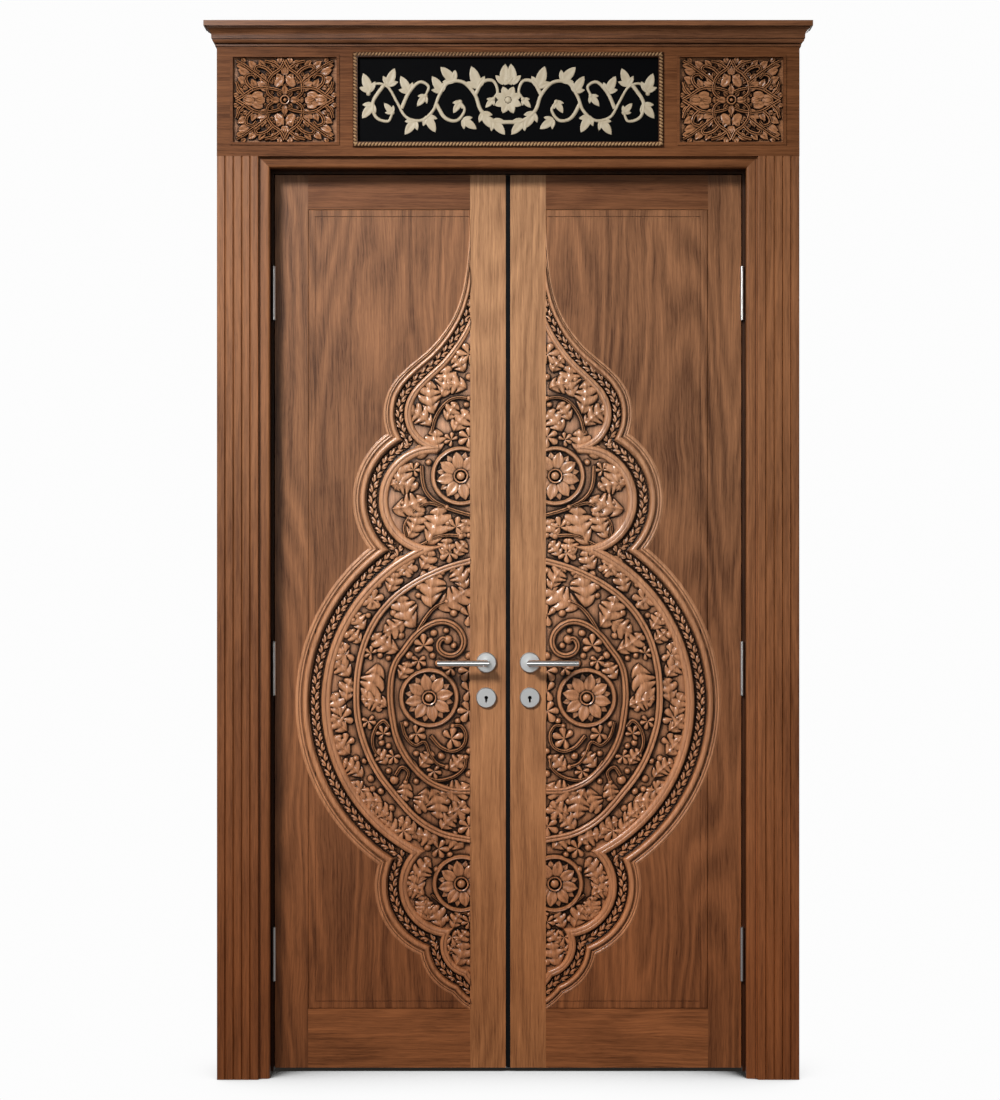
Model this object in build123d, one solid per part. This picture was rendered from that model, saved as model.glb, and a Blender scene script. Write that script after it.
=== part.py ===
from build123d import *
import os
from math import cos, hypot, pi, sin

# A carved double door in its frame. X runs to the right, Y into the wall and Z up, in millimetres.
# The origin is on the floor, in the middle of the doorway and of the leaves' thickness.
# Paired pieces are modelled on the right side and mirrored for the left.

# Leaves: framed panels that swing out towards the viewer
LEAF_WIDTH = 604.0
LEAF_HEIGHT = 2335.0
LEAF_THICK = 45.0
FLOOR_GAP = 10.0
MEETING_GAP = 12.0
HINGE_STILE_WIDTH = 87.0
MEETING_STILE_WIDTH = 93.0
TOP_RAIL_HEIGHT = 90.0
BOTTOM_RAIL_HEIGHT = 154.0
PANEL_THICK = 36.0
TONGUE_DEPTH = 12.0
TONGUE_THICK = 12.0
TONGUE_PLAY = 0.2
PANEL_CHAMFER = 2.5
BORDER_INSET = 18.0
BORDER_GROOVE = 3.0
BORDER_GROOVE_DEPTH = 2.0

# Frame: places are offsets outward from the leaves' hinge and top edges
LEAF_PLAY = 3.0
STOP_LAP = 16.0
BEAD_INNER = 5.0
JAMB_RECESS = 9.0
BEAD_WIDTH = 28.0
JAMB_OUTER = 54.0
CASING_WIDTH = 107.0
RECESS_DEPTH = 80.0
CASING_THICK = 24.0
BEAD_SETBACK = 10.0
BEAD_ROUND = 6.0
BEAD_QUIRK_WIDTH = 6.0
BEAD_QUIRK_DEPTH = 3.0
WALL_DEPTH = 211.0
REEDS = 5
REED_GROOVE_WIDTH = 5.0
REED_GROOVE_DEPTH = 4.0
CASING_ROUND = 3.0
ANCHOR_RADIUS = 5.5
ANCHOR_SHARES = (0.1, 0.34, 0.64, 0.92)
ANCHOR_BEHIND_LEAF = 57.5

# Frieze and cornice
FRIEZE_HEIGHT = 282.0
FRIEZE_BELOW = 22.5
FRIEZE_ABOVE = 14.5
FIELD_GAP = 34.5
CARVED_WIDTH = 267.0
CARVED_DEPTH = 14.0
CARVED_GROUND = 5.0
CARVED_SHY = 1.0
CARVED_MOULD_WIDTH = 7.0
CARVED_MOULD_PROUD = 3.0
CENTRE_DEPTH = 10.0
CENTRE_SHY = 4.0
CENTRE_MOULD_WIDTH = 13.0
CENTRE_MOULD_PROUD = 7.0
CENTRE_MOULD_BEVEL = 4.0
SCROLL_PROUD = 2.5
SCROLL_STEM = 7.0
CORNICE_HEIGHT = 60.0
CORNICE_OUT = 30.0

# Seals
SEAL_WIDTH = 10.0
SEAL_CLEAR = 0.3
SEAL_GAP = 3.0
EDGE_SEAL_OUT = 5.5
EDGE_SEAL_THICK = 6.0
EDGE_SEAL_SETBACK = 8.0
EDGE_SEAL_NOTCH = 3.7
EDGE_SEAL_NOTCH_CLEAR = 1.0

# Hinges
HINGE_SHARES = (0.128, 0.4475, 0.867)
HINGE_LENGTH = 140.0
HINGE_PROUD = 8.0
BARREL_RADIUS = 5.5
BARREL_GAP = 0.5
PIN_RADIUS = 3.0
PIN_PLAY = 0.15
PLATE_THICK = 2.5
PLATE_WIDTH = 32.0

# Levers, roses and lock
BACKSET = 51.0
LEVER_HEIGHT = 1070.0
KEY_DROP = 92.0
ROSE_RADIUS = 26.5
ROSE_THICK = 9.0
ROSE_BEVEL = 2.0
LEVER_RADIUS = 8.5
LEVER_OUT = 50.0
LEVER_REACH = 127.0
LEVER_SEAT = 1.0
LEVER_CLEAR = 0.4
LEVER_BEVEL = 1.2
SPINDLE = 8.0
SPINDLE_PLAY = 0.1
SPINDLE_GRIP = 26.0
SPINDLE_BORE_RADIUS = 10.0
FOLLOWER_RADIUS = 11.0
FOLLOWER_THICK = 13.0
FOLLOWER_CLEAR = 0.3
CASE_DEPTH = 75.0
CASE_THICK = 16.0
CASE_ABOVE = 40.0
CASE_BELOW = 40.0
PLATE_ABOVE = 75.0
PLATE_BELOW = 75.0
FACEPLATE_THICK = 3.0
FACEPLATE_WIDTH = 22.0
BOLT_THICK = 12.0
BOLT_CLEAR = 0.3
LATCH_HEIGHT = 28.0
LATCH_OUT = 9.0
LATCH_LENGTH = 37.0
LATCH_BEVEL = 8.0
LATCH_ROOM = 9.4
DEAD_HEIGHT = 36.0
DEAD_LENGTH = 31.5
DEAD_THROW = 20.0
DEAD_SHY = 0.3
STRIKE_ROOM = 4.0
KEY_RADIUS = 5.0
KEY_SLOT_WIDTH = 5.0
KEY_SLOT_DROP = 12.0

# Medallion: levels are measured forward from the leaf's face
MEDALLION_POCKET = 10.0
POCKET_PLAY = 0.2
GROUND_LEVEL = -6.0
BAND_LEVEL = -3.0
OUTER_BEAD_LEVEL = 4.0
INNER_BEAD_LEVEL = 7.5
RIB_LEVEL = 5.0
STEM_LEVEL = 2.0
FOLIAGE_LEVEL = 0.5
BOSS_LEVEL = 4.0

# Photograph pixels of the left leaf: the panel's edges, then what is carved on it
PANEL_PX = (308.0, 209.0, 469.3, 1008.0)
# lobes of the outline: centre, radius and how far the mouldings keep their full width
LOBES_PX = (
    (441.6, 414.4, 58.6, 0.8),
    (433.5, 499.9, 81.1, 1.0),
    (493.6, 701.6, 198.3, 1.0),
    (449.7, 884.0, 75.4, 0.93),
    (472.1, 942.7, 53.6, 0.8),
    (498.5, 954.8, 60.0, 0.75),
)
# hollow curves that draw the crown in to its tip, with the rows that each one bounds
CROWN_PX = (
    (318.9, 251.6, 148.4, 0.62, 300.0, 372.0),
    (-176.2, 184.1, 646.0, 0.5, 209.0, 300.0),
)
CROWN_LEFT_PX = 420.0
FIELD_PX = (
    (469.3, 350.0), (437.0, 397.0), (421.0, 436.0), (400.0, 480.0), (411.0, 548.0), (380.0, 640.0),
    (380.0, 760.0), (409.0, 860.0), (413.0, 895.0), (438.0, 930.0), (447.0, 950.0), (469.3, 966.0),
)
# insets of the moulding's edges from the outline
OUTER_BEAD_PX = 5.0
POCKET_PX = 13.5
INNER_BEAD_PX = 15.0
BAND_PX = 23.0
RIB_PX = 32.5
# arched rib: centre, then inner and outer radius
ARCH_PX = (498.6, 695.3, 141.5, 149.0)
# rosettes: centre, ring radius, petal reach
ROSETTES_PX = (
    (428.5, 697.0, 30.0, 22.5),
    (460.0, 476.0, 30.0, 22.5),
    (460.5, 882.0, 29.0, 22.5),
)
ROSETTE_RING_PX = 4.0
ROSETTE_BOSS_PX = 6.0
BUD_PX = (420.0, 452.0, 7.5)
PETALS = 8
# stems: width at the start and end, then the points that the stem passes through
STEMS_PX = (
    (3.5, 3.0, (431, 433), (434, 420), (440, 409), (448, 401), (457, 398), (468, 399)),
    (4.0, 3.0, (469, 515), (455, 511), (440, 506), (428, 503), (419, 507), (410, 516), (404, 527),
     (408, 546)),
    (4.0, 3.0, (421, 466), (422, 482), (426, 493), (434, 501), (446, 507)),
    (3.0, 4.0, (412, 549), (424, 543), (436, 537), (448, 535), (460, 536)),
    (6.5, 3.5, (469, 790), (450, 789), (430, 781), (415, 768), (403, 752), (395, 733), (391, 712),
     (389.5, 695), (391, 675), (396, 660), (404, 649), (413, 637), (424, 627), (437, 621.5),
     (449, 622.5), (459, 630), (463, 641), (459, 650), (450, 653.5), (442, 650), (441, 643)),
    (4.0, 3.0, (416, 633), (424, 619), (434, 607), (446, 601)),
    (3.5, 3.0, (401, 721), (405, 735), (414, 744), (424, 741), (429, 752), (436, 762), (446, 766)),
    (4.0, 3.0, (430, 735), (440, 746), (452, 750), (462, 745), (465, 734), (460, 725), (452, 725)),
    (3.5, 3.0, (412, 760), (422, 773), (436, 779), (452, 776), (463, 767), (465, 756)),
    (4.0, 3.0, (389, 726), (383, 720), (376, 726), (372, 738), (374, 749), (381, 757)),
    (3.5, 3.0, (395, 774), (401, 766), (408, 771), (405, 781)),
    (3.0, 3.0, (431, 893), (444, 903), (456, 909), (468, 912)),
)
# leaves: from the foot to the tip
LEAVES_PX = (
    (463, 373, 453, 360), (466, 389, 447, 385), (440, 398, 444, 371), (434, 415, 431, 386),
    (431, 427, 411, 412), (446, 421, 455, 406), (453, 432, 466, 415), (437, 454, 436, 433),
    (394, 491, 399, 462), (389, 485, 413, 488), (391, 509, 420, 499), (426, 545, 436, 511),
    (406, 538, 416, 514), (455, 537, 465, 521), (441, 557, 445, 540), (455, 557, 464, 544),
    (428, 561, 424, 547), (413, 574, 399, 559), (420, 569, 428, 552), (388, 592, 393, 574),
    (379, 608, 366, 593), (365, 629, 356, 614), (363, 641, 351, 631), (346, 661, 339, 643),
    (349, 677, 336, 663), (346, 701, 351, 681), (338, 716, 333, 696), (347, 730, 334, 717),
    (350, 753, 336, 737), (362, 777, 345, 763), (367, 796, 352, 783), (382, 801, 362, 801),
    (391, 821, 372, 806), (398, 837, 382, 820), (418, 839, 400, 822), (438, 841, 418, 834),
    (463, 847, 446, 838), (416, 627, 402, 598), (404, 620, 386, 630), (399, 650, 377, 635),
    (386, 666, 372, 655), (387, 688, 367, 671), (382, 716, 363, 699), (386, 764, 376, 752),
    (405, 780, 402, 797), (426, 786, 416, 807), (430, 786, 436, 813), (445, 813, 461, 803),
    (440, 829, 453, 816), (431, 608, 436, 573), (435, 606, 463, 590), (458, 592, 452, 566),
    (427, 616, 422, 597), (398, 678, 406, 663), (447, 768, 461, 756), (418, 766, 428, 752),
    (436, 792, 464, 785), (408, 896, 414, 871), (416, 884, 428, 862), (424, 894, 409, 889),
    (426, 896, 420, 913), (431, 919, 424, 897), (441, 926, 432, 908), (452, 927, 459, 913),
    (452, 940, 464, 930), (455, 964, 461, 943), (447, 953, 453, 944),
)

# A leaf's half outline: how far along it and how wide, as shares of its length
LEAF_SHARES = ((0.3, 0.27), (0.68, 0.22))
PETAL_SHARES = ((0.35, 0.16), (0.72, 0.2))
PETAL_START_SHARE = 0.4

# Carved frieze panel: one quarter, as shares of its half width and half height from its middle
QUARTER_STEM_SHARES = (
    ((0.0, 0.62), (0.18, 0.80), (0.40, 0.82), (0.58, 0.66), (0.56, 0.42), (0.36, 0.30)),
    ((0.56, 0.0), (0.74, 0.20), (0.92, 0.28)),
    ((0.58, 0.66), (0.74, 0.82), (0.92, 0.90)),
)
QUARTER_LEAF_SHARES = (
    (0.22, 0.30, 0.46, 0.62), (0.62, 0.36, 0.92, 0.52), (0.66, 0.62, 0.92, 0.70), (0.42, 0.84, 0.66, 0.94),
    (0.62, 0.10, 0.90, 0.08), (0.08, 0.72, 0.26, 0.95),
)
QUARTER_STEM_WIDTH = 9.0
QUARTER_RING_RADIUS = 24.0
QUARTER_PETAL_REACH = 46.0
QUARTER_BOSS_RADIUS = 12.0
CARVED_MARGIN = 4.0

# Light scrollwork on the centre board: one half, as shares of its half width and half height
SCROLL_STEM_SHARES = (
    ((0.0, -0.52), (0.09, -0.50), (0.18, -0.25), (0.22, 0.12), (0.30, 0.42), (0.40, 0.40), (0.46, 0.10),
     (0.50, -0.25), (0.58, -0.48), (0.68, -0.40), (0.74, -0.05), (0.80, 0.30), (0.88, 0.38), (0.93, 0.15)),
    ((0.22, 0.12), (0.17, 0.42), (0.10, 0.45), (0.07, 0.20), (0.10, 0.02)),
    ((0.48, -0.08), (0.42, -0.42), (0.34, -0.48), (0.29, -0.24), (0.32, -0.04)),
    ((0.71, -0.20), (0.66, 0.18), (0.59, 0.42), (0.53, 0.32), (0.55, 0.10)),
    ((0.83, 0.34), (0.90, -0.05), (0.88, -0.40), (0.80, -0.50), (0.77, -0.30)),
)
SCROLL_LEAF_SHARES = (
    (0.0, -0.35, 0.0, 0.62), (0.03, 0.05, 0.09, 0.30), (0.10, -0.48, 0.03, -0.78),
    (0.17, -0.30, 0.12, -0.62), (0.20, 0.30, 0.24, 0.74), (0.10, 0.02, 0.145, -0.16),
    (0.32, -0.04, 0.36, -0.28), (0.36, 0.44, 0.44, 0.74), (0.44, 0.20, 0.50, 0.52),
    (0.54, -0.38, 0.49, -0.72), (0.62, -0.48, 0.68, -0.78), (0.55, 0.10, 0.60, -0.12),
    (0.30, -0.46, 0.22, -0.66), (0.66, 0.18, 0.71, 0.52), (0.77, -0.30, 0.82, -0.10),
    (0.80, 0.34, 0.76, 0.70), (0.92, 0.20, 0.96, 0.58), (0.90, -0.10, 0.965, -0.40),
)
OVERRUN = 20.0

# Places worked out from the sizes
LEAF_EDGE = MEETING_GAP / 2 + LEAF_WIDTH
LEAF_TOP = FLOOR_GAP + LEAF_HEIGHT
LEAF_FRONT = -LEAF_THICK / 2
LEAF_BACK = LEAF_THICK / 2
MEETING_EDGE = MEETING_GAP / 2
PANEL_NEAR = MEETING_EDGE + MEETING_STILE_WIDTH
PANEL_FAR = LEAF_EDGE - HINGE_STILE_WIDTH
PANEL_LOW = FLOOR_GAP + BOTTOM_RAIL_HEIGHT
PANEL_HIGH = LEAF_TOP - TOP_RAIL_HEIGHT
CASING_FRONT = LEAF_FRONT - RECESS_DEPTH
WALL_FACE = CASING_FRONT + CASING_THICK
BEAD_FRONT = CASING_FRONT + BEAD_SETBACK
BEAD_OUTER = BEAD_INNER + BEAD_WIDTH
JAMB_REAR = WALL_FACE + WALL_DEPTH
STOP_FACE = LEAF_BACK + SEAL_GAP
FRAME_HALF = LEAF_EDGE + BEAD_OUTER + CASING_WIDTH
FRIEZE_LOW = LEAF_TOP + BEAD_OUTER
FRIEZE_HIGH = FRIEZE_LOW + FRIEZE_HEIGHT
FIELD_LOW = FRIEZE_LOW + FRIEZE_BELOW + CENTRE_MOULD_WIDTH
FIELD_HIGH = FRIEZE_HIGH - FRIEZE_ABOVE - CENTRE_MOULD_WIDTH
FIELD_HEIGHT = FIELD_HIGH - FIELD_LOW
FIELD_MIDDLE = (FIELD_LOW + FIELD_HIGH) / 2
CARVED_MIDDLE = FRAME_HALF - FIELD_GAP - CARVED_MOULD_WIDTH - CARVED_WIDTH / 2
CARVED_INNER = CARVED_MIDDLE - CARVED_WIDTH / 2 - CARVED_MOULD_WIDTH
CENTRE_WIDTH = 2 * (CARVED_INNER - FIELD_GAP - CENTRE_MOULD_WIDTH)
ANCHOR_HEIGHTS = [FLOOR_GAP + share * LEAF_HEIGHT for share in ANCHOR_SHARES]
HINGE_HEIGHTS = [FLOOR_GAP + share * LEAF_HEIGHT for share in HINGE_SHARES]
HINGE_X = LEAF_EDGE + LEAF_PLAY / 2
HINGE_Y = LEAF_FRONT - HINGE_PROUD
LOCK_X = MEETING_EDGE + BACKSET
KEY_HEIGHT = LEVER_HEIGHT - KEY_DROP
FACEPLATE_LOW = KEY_HEIGHT - PLATE_BELOW
FACEPLATE_HIGH = LEVER_HEIGHT + PLATE_ABOVE
CARVE_SCALE = (PANEL_FAR - PANEL_NEAR) / (PANEL_PX[2] - PANEL_PX[0])
CARVE_MIDDLE = (PANEL_LOW + PANEL_HIGH) / 2
CARVE_MIDDLE_PX = (PANEL_PX[1] + PANEL_PX[3]) / 2


def shape(points):
    """A closed flat shape through the points, facing up whichever way they run."""
    turns = zip(points, points[1:] + points[:1])
    area = sum(a[0] * b[1] - b[0] * a[1] for a, b in turns)
    return Polygon(*(points if area > 0 else points[::-1]))


def slab(sketch, back, front):
    """An upright X-Z sketch as a solid from the depth back forward to the depth front."""
    return extrude(Plane.XZ.offset(-back) * sketch, amount=back - front, dir=(0, -1, 0))


def block(x0, x1, y0, y1, z0, z1):
    middle = Pos((x0 + x1) / 2, (y0 + y1) / 2, (z0 + z1) / 2)
    return middle * Box(abs(x1 - x0), abs(y1 - y0), abs(z1 - z0))


def area(x0, x1, z0, z1):
    return Pos((x0 + x1) / 2, (z0 + z1) / 2) * Rectangle(abs(x1 - x0), abs(z1 - z0))


def rod(radius, x, z, back, front):
    """A round bar along Y."""
    return slab(Pos(x, z) * Circle(radius), back, front)


def mirrored(part):
    return mirror(part, about=Plane.YZ)


def rounded(sketch, corner, radius):
    return fillet(sketch.vertices().sort_by_distance((*corner, 0))[0], radius)


# Side and head members share a section, drawn as offsets from the leaf's edge, and meet at a mitre
def side_place(offset, depth):
    return (LEAF_EDGE + offset, depth)


def head_place(offset, depth):
    return (depth, LEAF_TOP + offset)


def side_member(section):
    top = LEAF_TOP + JAMB_OUTER
    long = extrude(section(side_place), amount=top, dir=(0, 0, 1))
    reach = JAMB_OUTER + OVERRUN
    over = shape([(LEAF_EDGE - reach, LEAF_TOP - reach), (LEAF_EDGE + reach, LEAF_TOP + reach),
                  (LEAF_EDGE - reach, LEAF_TOP + reach)])
    return long - slab(over, JAMB_REAR + OVERRUN, CASING_FRONT - OVERRUN)


def head_member(section):
    half = LEAF_EDGE + JAMB_OUTER
    long = extrude(Plane.YZ.offset(-half) * section(head_place), amount=2 * half, dir=(1, 0, 0))
    reach = JAMB_OUTER + OVERRUN
    under = LEAF_EDGE - reach
    keep = shape([(-under, LEAF_TOP - reach), (under, LEAF_TOP - reach),
                  (LEAF_EDGE + reach, LEAF_TOP + reach), (-LEAF_EDGE - reach, LEAF_TOP + reach)])
    return long & slab(keep, JAMB_REAR + OVERRUN, CASING_FRONT - OVERRUN)


def jamb_section(place):
    """Recess for the hinge knuckles, pocket for the leaf's thickness, then the stop behind it."""
    steps = [(JAMB_RECESS, WALL_FACE), (JAMB_OUTER, WALL_FACE), (JAMB_OUTER, JAMB_REAR),
             (-STOP_LAP, JAMB_REAR), (-STOP_LAP, STOP_FACE), (LEAF_PLAY, STOP_FACE),
             (LEAF_PLAY, LEAF_FRONT), (JAMB_RECESS, LEAF_FRONT)]
    return shape([place(*step) for step in steps])


def bead_section(place):
    """A flat bead with a rounded inner edge and a sunk quirk beside the casing."""
    quirk = BEAD_OUTER - BEAD_QUIRK_WIDTH
    low = BEAD_FRONT + BEAD_QUIRK_DEPTH
    steps = [(BEAD_INNER, WALL_FACE), (BEAD_OUTER, WALL_FACE), (BEAD_OUTER, low), (quirk, low),
             (quirk, BEAD_FRONT), (BEAD_INNER, BEAD_FRONT)]
    flat = shape([place(*step) for step in steps])
    return rounded(flat, place(BEAD_INNER, BEAD_FRONT), BEAD_ROUND)


def seal_section(place):
    inner = -STOP_LAP + LEAF_PLAY
    outer = inner + SEAL_WIDTH
    front = LEAF_BACK + SEAL_CLEAR
    steps = [(inner, STOP_FACE), (outer, STOP_FACE), (outer, front), (inner, front)]
    return shape([place(*step) for step in steps])


def casing():
    """A reeded board: V grooves part it into equal reeds."""
    inner = LEAF_EDGE + BEAD_OUTER
    board = shape([(inner, WALL_FACE), (FRAME_HALF, WALL_FACE), (FRAME_HALF, CASING_FRONT),
                   (inner, CASING_FRONT)])
    board = rounded(board, (FRAME_HALF, CASING_FRONT), CASING_ROUND)
    board = rounded(board, (inner, CASING_FRONT), CASING_ROUND)
    pitch = CASING_WIDTH / REEDS
    half = REED_GROOVE_WIDTH / 2
    for groove in range(1, REEDS):
        x = inner + groove * pitch
        bottom = (x, CASING_FRONT + REED_GROOVE_DEPTH)
        board -= shape([(x - half, CASING_FRONT), (x + half, CASING_FRONT), bottom])
    return extrude(board, amount=FRIEZE_LOW, dir=(0, 0, 1))


def field(width, height, middle, margin=0):
    """A frieze field's rectangle, widened all round by the margin."""
    half_width = width / 2 + margin
    half_height = height / 2 + margin
    return Pos(middle, FIELD_MIDDLE) * Rectangle(2 * half_width, 2 * half_height)


def frieze_board():
    board = slab(area(-FRAME_HALF, FRAME_HALF, FRIEZE_LOW, FRIEZE_HIGH), WALL_FACE, CASING_FRONT)
    for middle in (-CARVED_MIDDLE, CARVED_MIDDLE):
        board -= slab(field(CARVED_WIDTH, FIELD_HEIGHT, middle), CASING_FRONT + CARVED_DEPTH, CASING_FRONT)
    return board - slab(field(CENTRE_WIDTH, FIELD_HEIGHT, 0), CASING_FRONT + CENTRE_DEPTH, CASING_FRONT)


def leaf_outline(foot, tip, shares=LEAF_SHARES):
    """A pointed leaf between two points."""
    (x, y), (dx, dy) = foot, (tip[0] - foot[0], tip[1] - foot[1])
    near = [(x + s * dx - w * dy, y + s * dy + w * dx) for s, w in shares]
    far = [(x + s * dx + w * dy, y + s * dy - w * dx) for s, w in shares]
    return shape([foot] + near + [tip] + far[::-1])


def stem_outline(points, start, end):
    """A band along the points that narrows from one width to another."""
    near = []
    far = []
    last = len(points) - 1
    for i, (x, y) in enumerate(points):
        before = points[max(i - 1, 0)]
        after = points[min(i + 1, last)]
        run = (after[0] - before[0], after[1] - before[1])
        half = (start + (end - start) * i / last) / 2 / hypot(*run)
        near.append((x - run[1] * half, y + run[0] * half))
        far.append((x + run[1] * half, y - run[0] * half))
    return shape(near + far[::-1])


def petals(centre, reach):
    """Petals round a centre, each from under the boss to its tip."""
    around = [2 * pi * i / PETALS for i in range(PETALS)]
    ends = [[(centre[0] + r * cos(a), centre[1] + r * sin(a)) for r in (reach * PETAL_START_SHARE, reach)]
            for a in around]
    return [leaf_outline(foot, tip, PETAL_SHARES) for foot, tip in ends]


def carved_panel():
    """A frieze panel's four-fold arabesque on its ground, about the middle of its field."""
    half_width = CARVED_WIDTH / 2 - CARVED_MARGIN
    half_height = FIELD_HEIGHT / 2 - CARVED_MARGIN
    relief = [Circle(QUARTER_RING_RADIUS)] + petals((0, 0), QUARTER_PETAL_REACH)
    for sx in (-1, 1):
        for sy in (-1, 1):
            for row in QUARTER_STEM_SHARES:
                points = [(sx * u * half_width, sy * v * half_height) for u, v in row]
                relief.append(stem_outline(points, QUARTER_STEM_WIDTH, QUARTER_STEM_WIDTH))
            for u0, v0, u1, v1 in QUARTER_LEAF_SHARES:
                foot = (sx * u0 * half_width, sy * v0 * half_height)
                relief.append(leaf_outline(foot, (sx * u1 * half_width, sy * v1 * half_height)))
    pattern = (Sketch() + relief) & Rectangle(2 * half_width, 2 * half_height)
    place = Pos(CARVED_MIDDLE, FIELD_MIDDLE)
    floor = CASING_FRONT + CARVED_DEPTH
    ground = floor - CARVED_GROUND
    panel = slab(place * Rectangle(CARVED_WIDTH, FIELD_HEIGHT), floor, ground)
    panel += slab(place * pattern, ground, CASING_FRONT + CARVED_SHY)
    return panel + slab(place * Circle(QUARTER_BOSS_RADIUS), ground, CASING_FRONT - CARVED_SHY)


def moulding(width, height, middle, across, proud):
    """A thin picture-frame moulding round a frieze field."""
    ring = field(width, height, middle, across) - field(width, height, middle)
    return slab(ring, CASING_FRONT, CASING_FRONT - proud)


def centre_moulding():
    """The wider moulding round the centre board, bevelled along its outer top edge."""
    plain = moulding(CENTRE_WIDTH, FIELD_HEIGHT, 0, CENTRE_MOULD_WIDTH, CENTRE_MOULD_PROUD)
    crest = plain.faces().sort_by(Axis.Y)[0]
    return chamfer(crest.outer_wire().edges(), CENTRE_MOULD_BEVEL)


def scrollwork():
    """Light stems and leaves in mirrored waves on the centre board."""
    half_width = CENTRE_WIDTH / 2
    half_height = FIELD_HEIGHT / 2
    relief = []
    for side in (-1, 1):
        for row in SCROLL_STEM_SHARES:
            points = [(side * u * half_width, v * half_height) for u, v in row]
            relief.append(stem_outline(points, SCROLL_STEM, SCROLL_STEM))
        for u0, v0, u1, v1 in SCROLL_LEAF_SHARES:
            foot = (side * u0 * half_width, v0 * half_height)
            relief.append(leaf_outline(foot, (side * u1 * half_width, v1 * half_height)))
    board = CASING_FRONT + CENTRE_SHY
    return slab(Pos(0, FIELD_MIDDLE) * (Sketch() + relief), board, board - SCROLL_PROUD)


# The cornice's outline, from the frieze up: projection and height shares of its whole size
CORNICE_SHARES = {
    "foot": (0.12, 0.0), "foot_top": (0.12, 0.08), "ovolo_low": (0.06, 0.10), "ovolo_mid": (0.28, 0.17),
    "ovolo_high": (0.36, 0.31), "fillet_low": (0.42, 0.31), "fillet_high": (0.42, 0.41),
    "cove_mid": (0.54, 0.60), "cove_high": (0.84, 0.71), "quirk_low": (0.84, 0.74),
    "quirk_high": (0.92, 0.77), "fascia": (1.0, 0.77), "top": (1.0, 1.0),
}


def cornice_line(place):
    at = {name: place(out * CORNICE_OUT, FRIEZE_HIGH + up * CORNICE_HEIGHT)
          for name, (out, up) in CORNICE_SHARES.items()}
    return Curve() + [
        Polyline(at["foot"], at["foot_top"], at["ovolo_low"]),
        ThreePointArc(at["ovolo_low"], at["ovolo_mid"], at["ovolo_high"]),
        Polyline(at["ovolo_high"], at["fillet_low"], at["fillet_high"]),
        ThreePointArc(at["fillet_high"], at["cove_mid"], at["cove_high"]),
        Polyline(at["cove_high"], at["quirk_low"], at["quirk_high"], at["fascia"], at["top"]),
    ]


def cornice():
    """The moulding returns round both ends, mitred where its front and its ends meet."""
    high = FRIEZE_HIGH + CORNICE_HEIGHT
    foot, top = [CORNICE_SHARES[name][0] * CORNICE_OUT for name in ("foot", "top")]
    front_line = cornice_line(lambda out, z: (CASING_FRONT - out, z))
    front_close = Polyline((CASING_FRONT - top, high), (WALL_FACE, high), (WALL_FACE, FRIEZE_HIGH),
                           (CASING_FRONT - foot, FRIEZE_HIGH))
    end_lines = [cornice_line(lambda out, z, side=side: (side * (FRAME_HALF + out), z)) for side in (-1, 1)]
    end_close = [Line((-FRAME_HALF - top, high), (FRAME_HALF + top, high)),
                 Line((-FRAME_HALF - foot, FRIEZE_HIGH), (FRAME_HALF + foot, FRIEZE_HIGH))]
    half = FRAME_HALF + CORNICE_OUT + OVERRUN
    front_section = make_face(Curve() + [front_line, front_close])
    run = extrude(Plane.YZ.offset(-half) * front_section, amount=2 * half, dir=(1, 0, 0))
    end_section = make_face(Curve() + end_lines + end_close)
    return run & slab(end_section, WALL_FACE + OVERRUN, CASING_FRONT - CORNICE_OUT - OVERRUN)


# Leaf joinery
def stile(near, far, groove_at):
    """A stile with the groove for the panel's and the rails' tongues along its inner edge."""
    post = block(near, far, LEAF_FRONT, LEAF_BACK, FLOOR_GAP, LEAF_TOP)
    inward = 1 if groove_at == near else -1
    end = groove_at + inward * TONGUE_DEPTH
    return post - block(groove_at, end, -TONGUE_THICK / 2, TONGUE_THICK / 2, FLOOR_GAP, LEAF_TOP)


def rail(low, high, groove_at):
    """A rail with a tenon at each end and the panel's groove along its inner edge."""
    beam = block(PANEL_NEAR, PANEL_FAR, LEAF_FRONT, LEAF_BACK, low, high)
    inward = 1 if groove_at == low else -1
    half = TONGUE_THICK / 2
    beam -= block(PANEL_NEAR, PANEL_FAR, -half, half, groove_at, groove_at + inward * TONGUE_DEPTH)
    tenon = TONGUE_DEPTH - TONGUE_PLAY
    thin = half - TONGUE_PLAY
    solid_low = low + TONGUE_DEPTH if groove_at == low else low
    solid_high = high - TONGUE_DEPTH if groove_at == high else high
    return beam + block(PANEL_NEAR - tenon, PANEL_FAR + tenon, -thin, thin, solid_low, solid_high)


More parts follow.
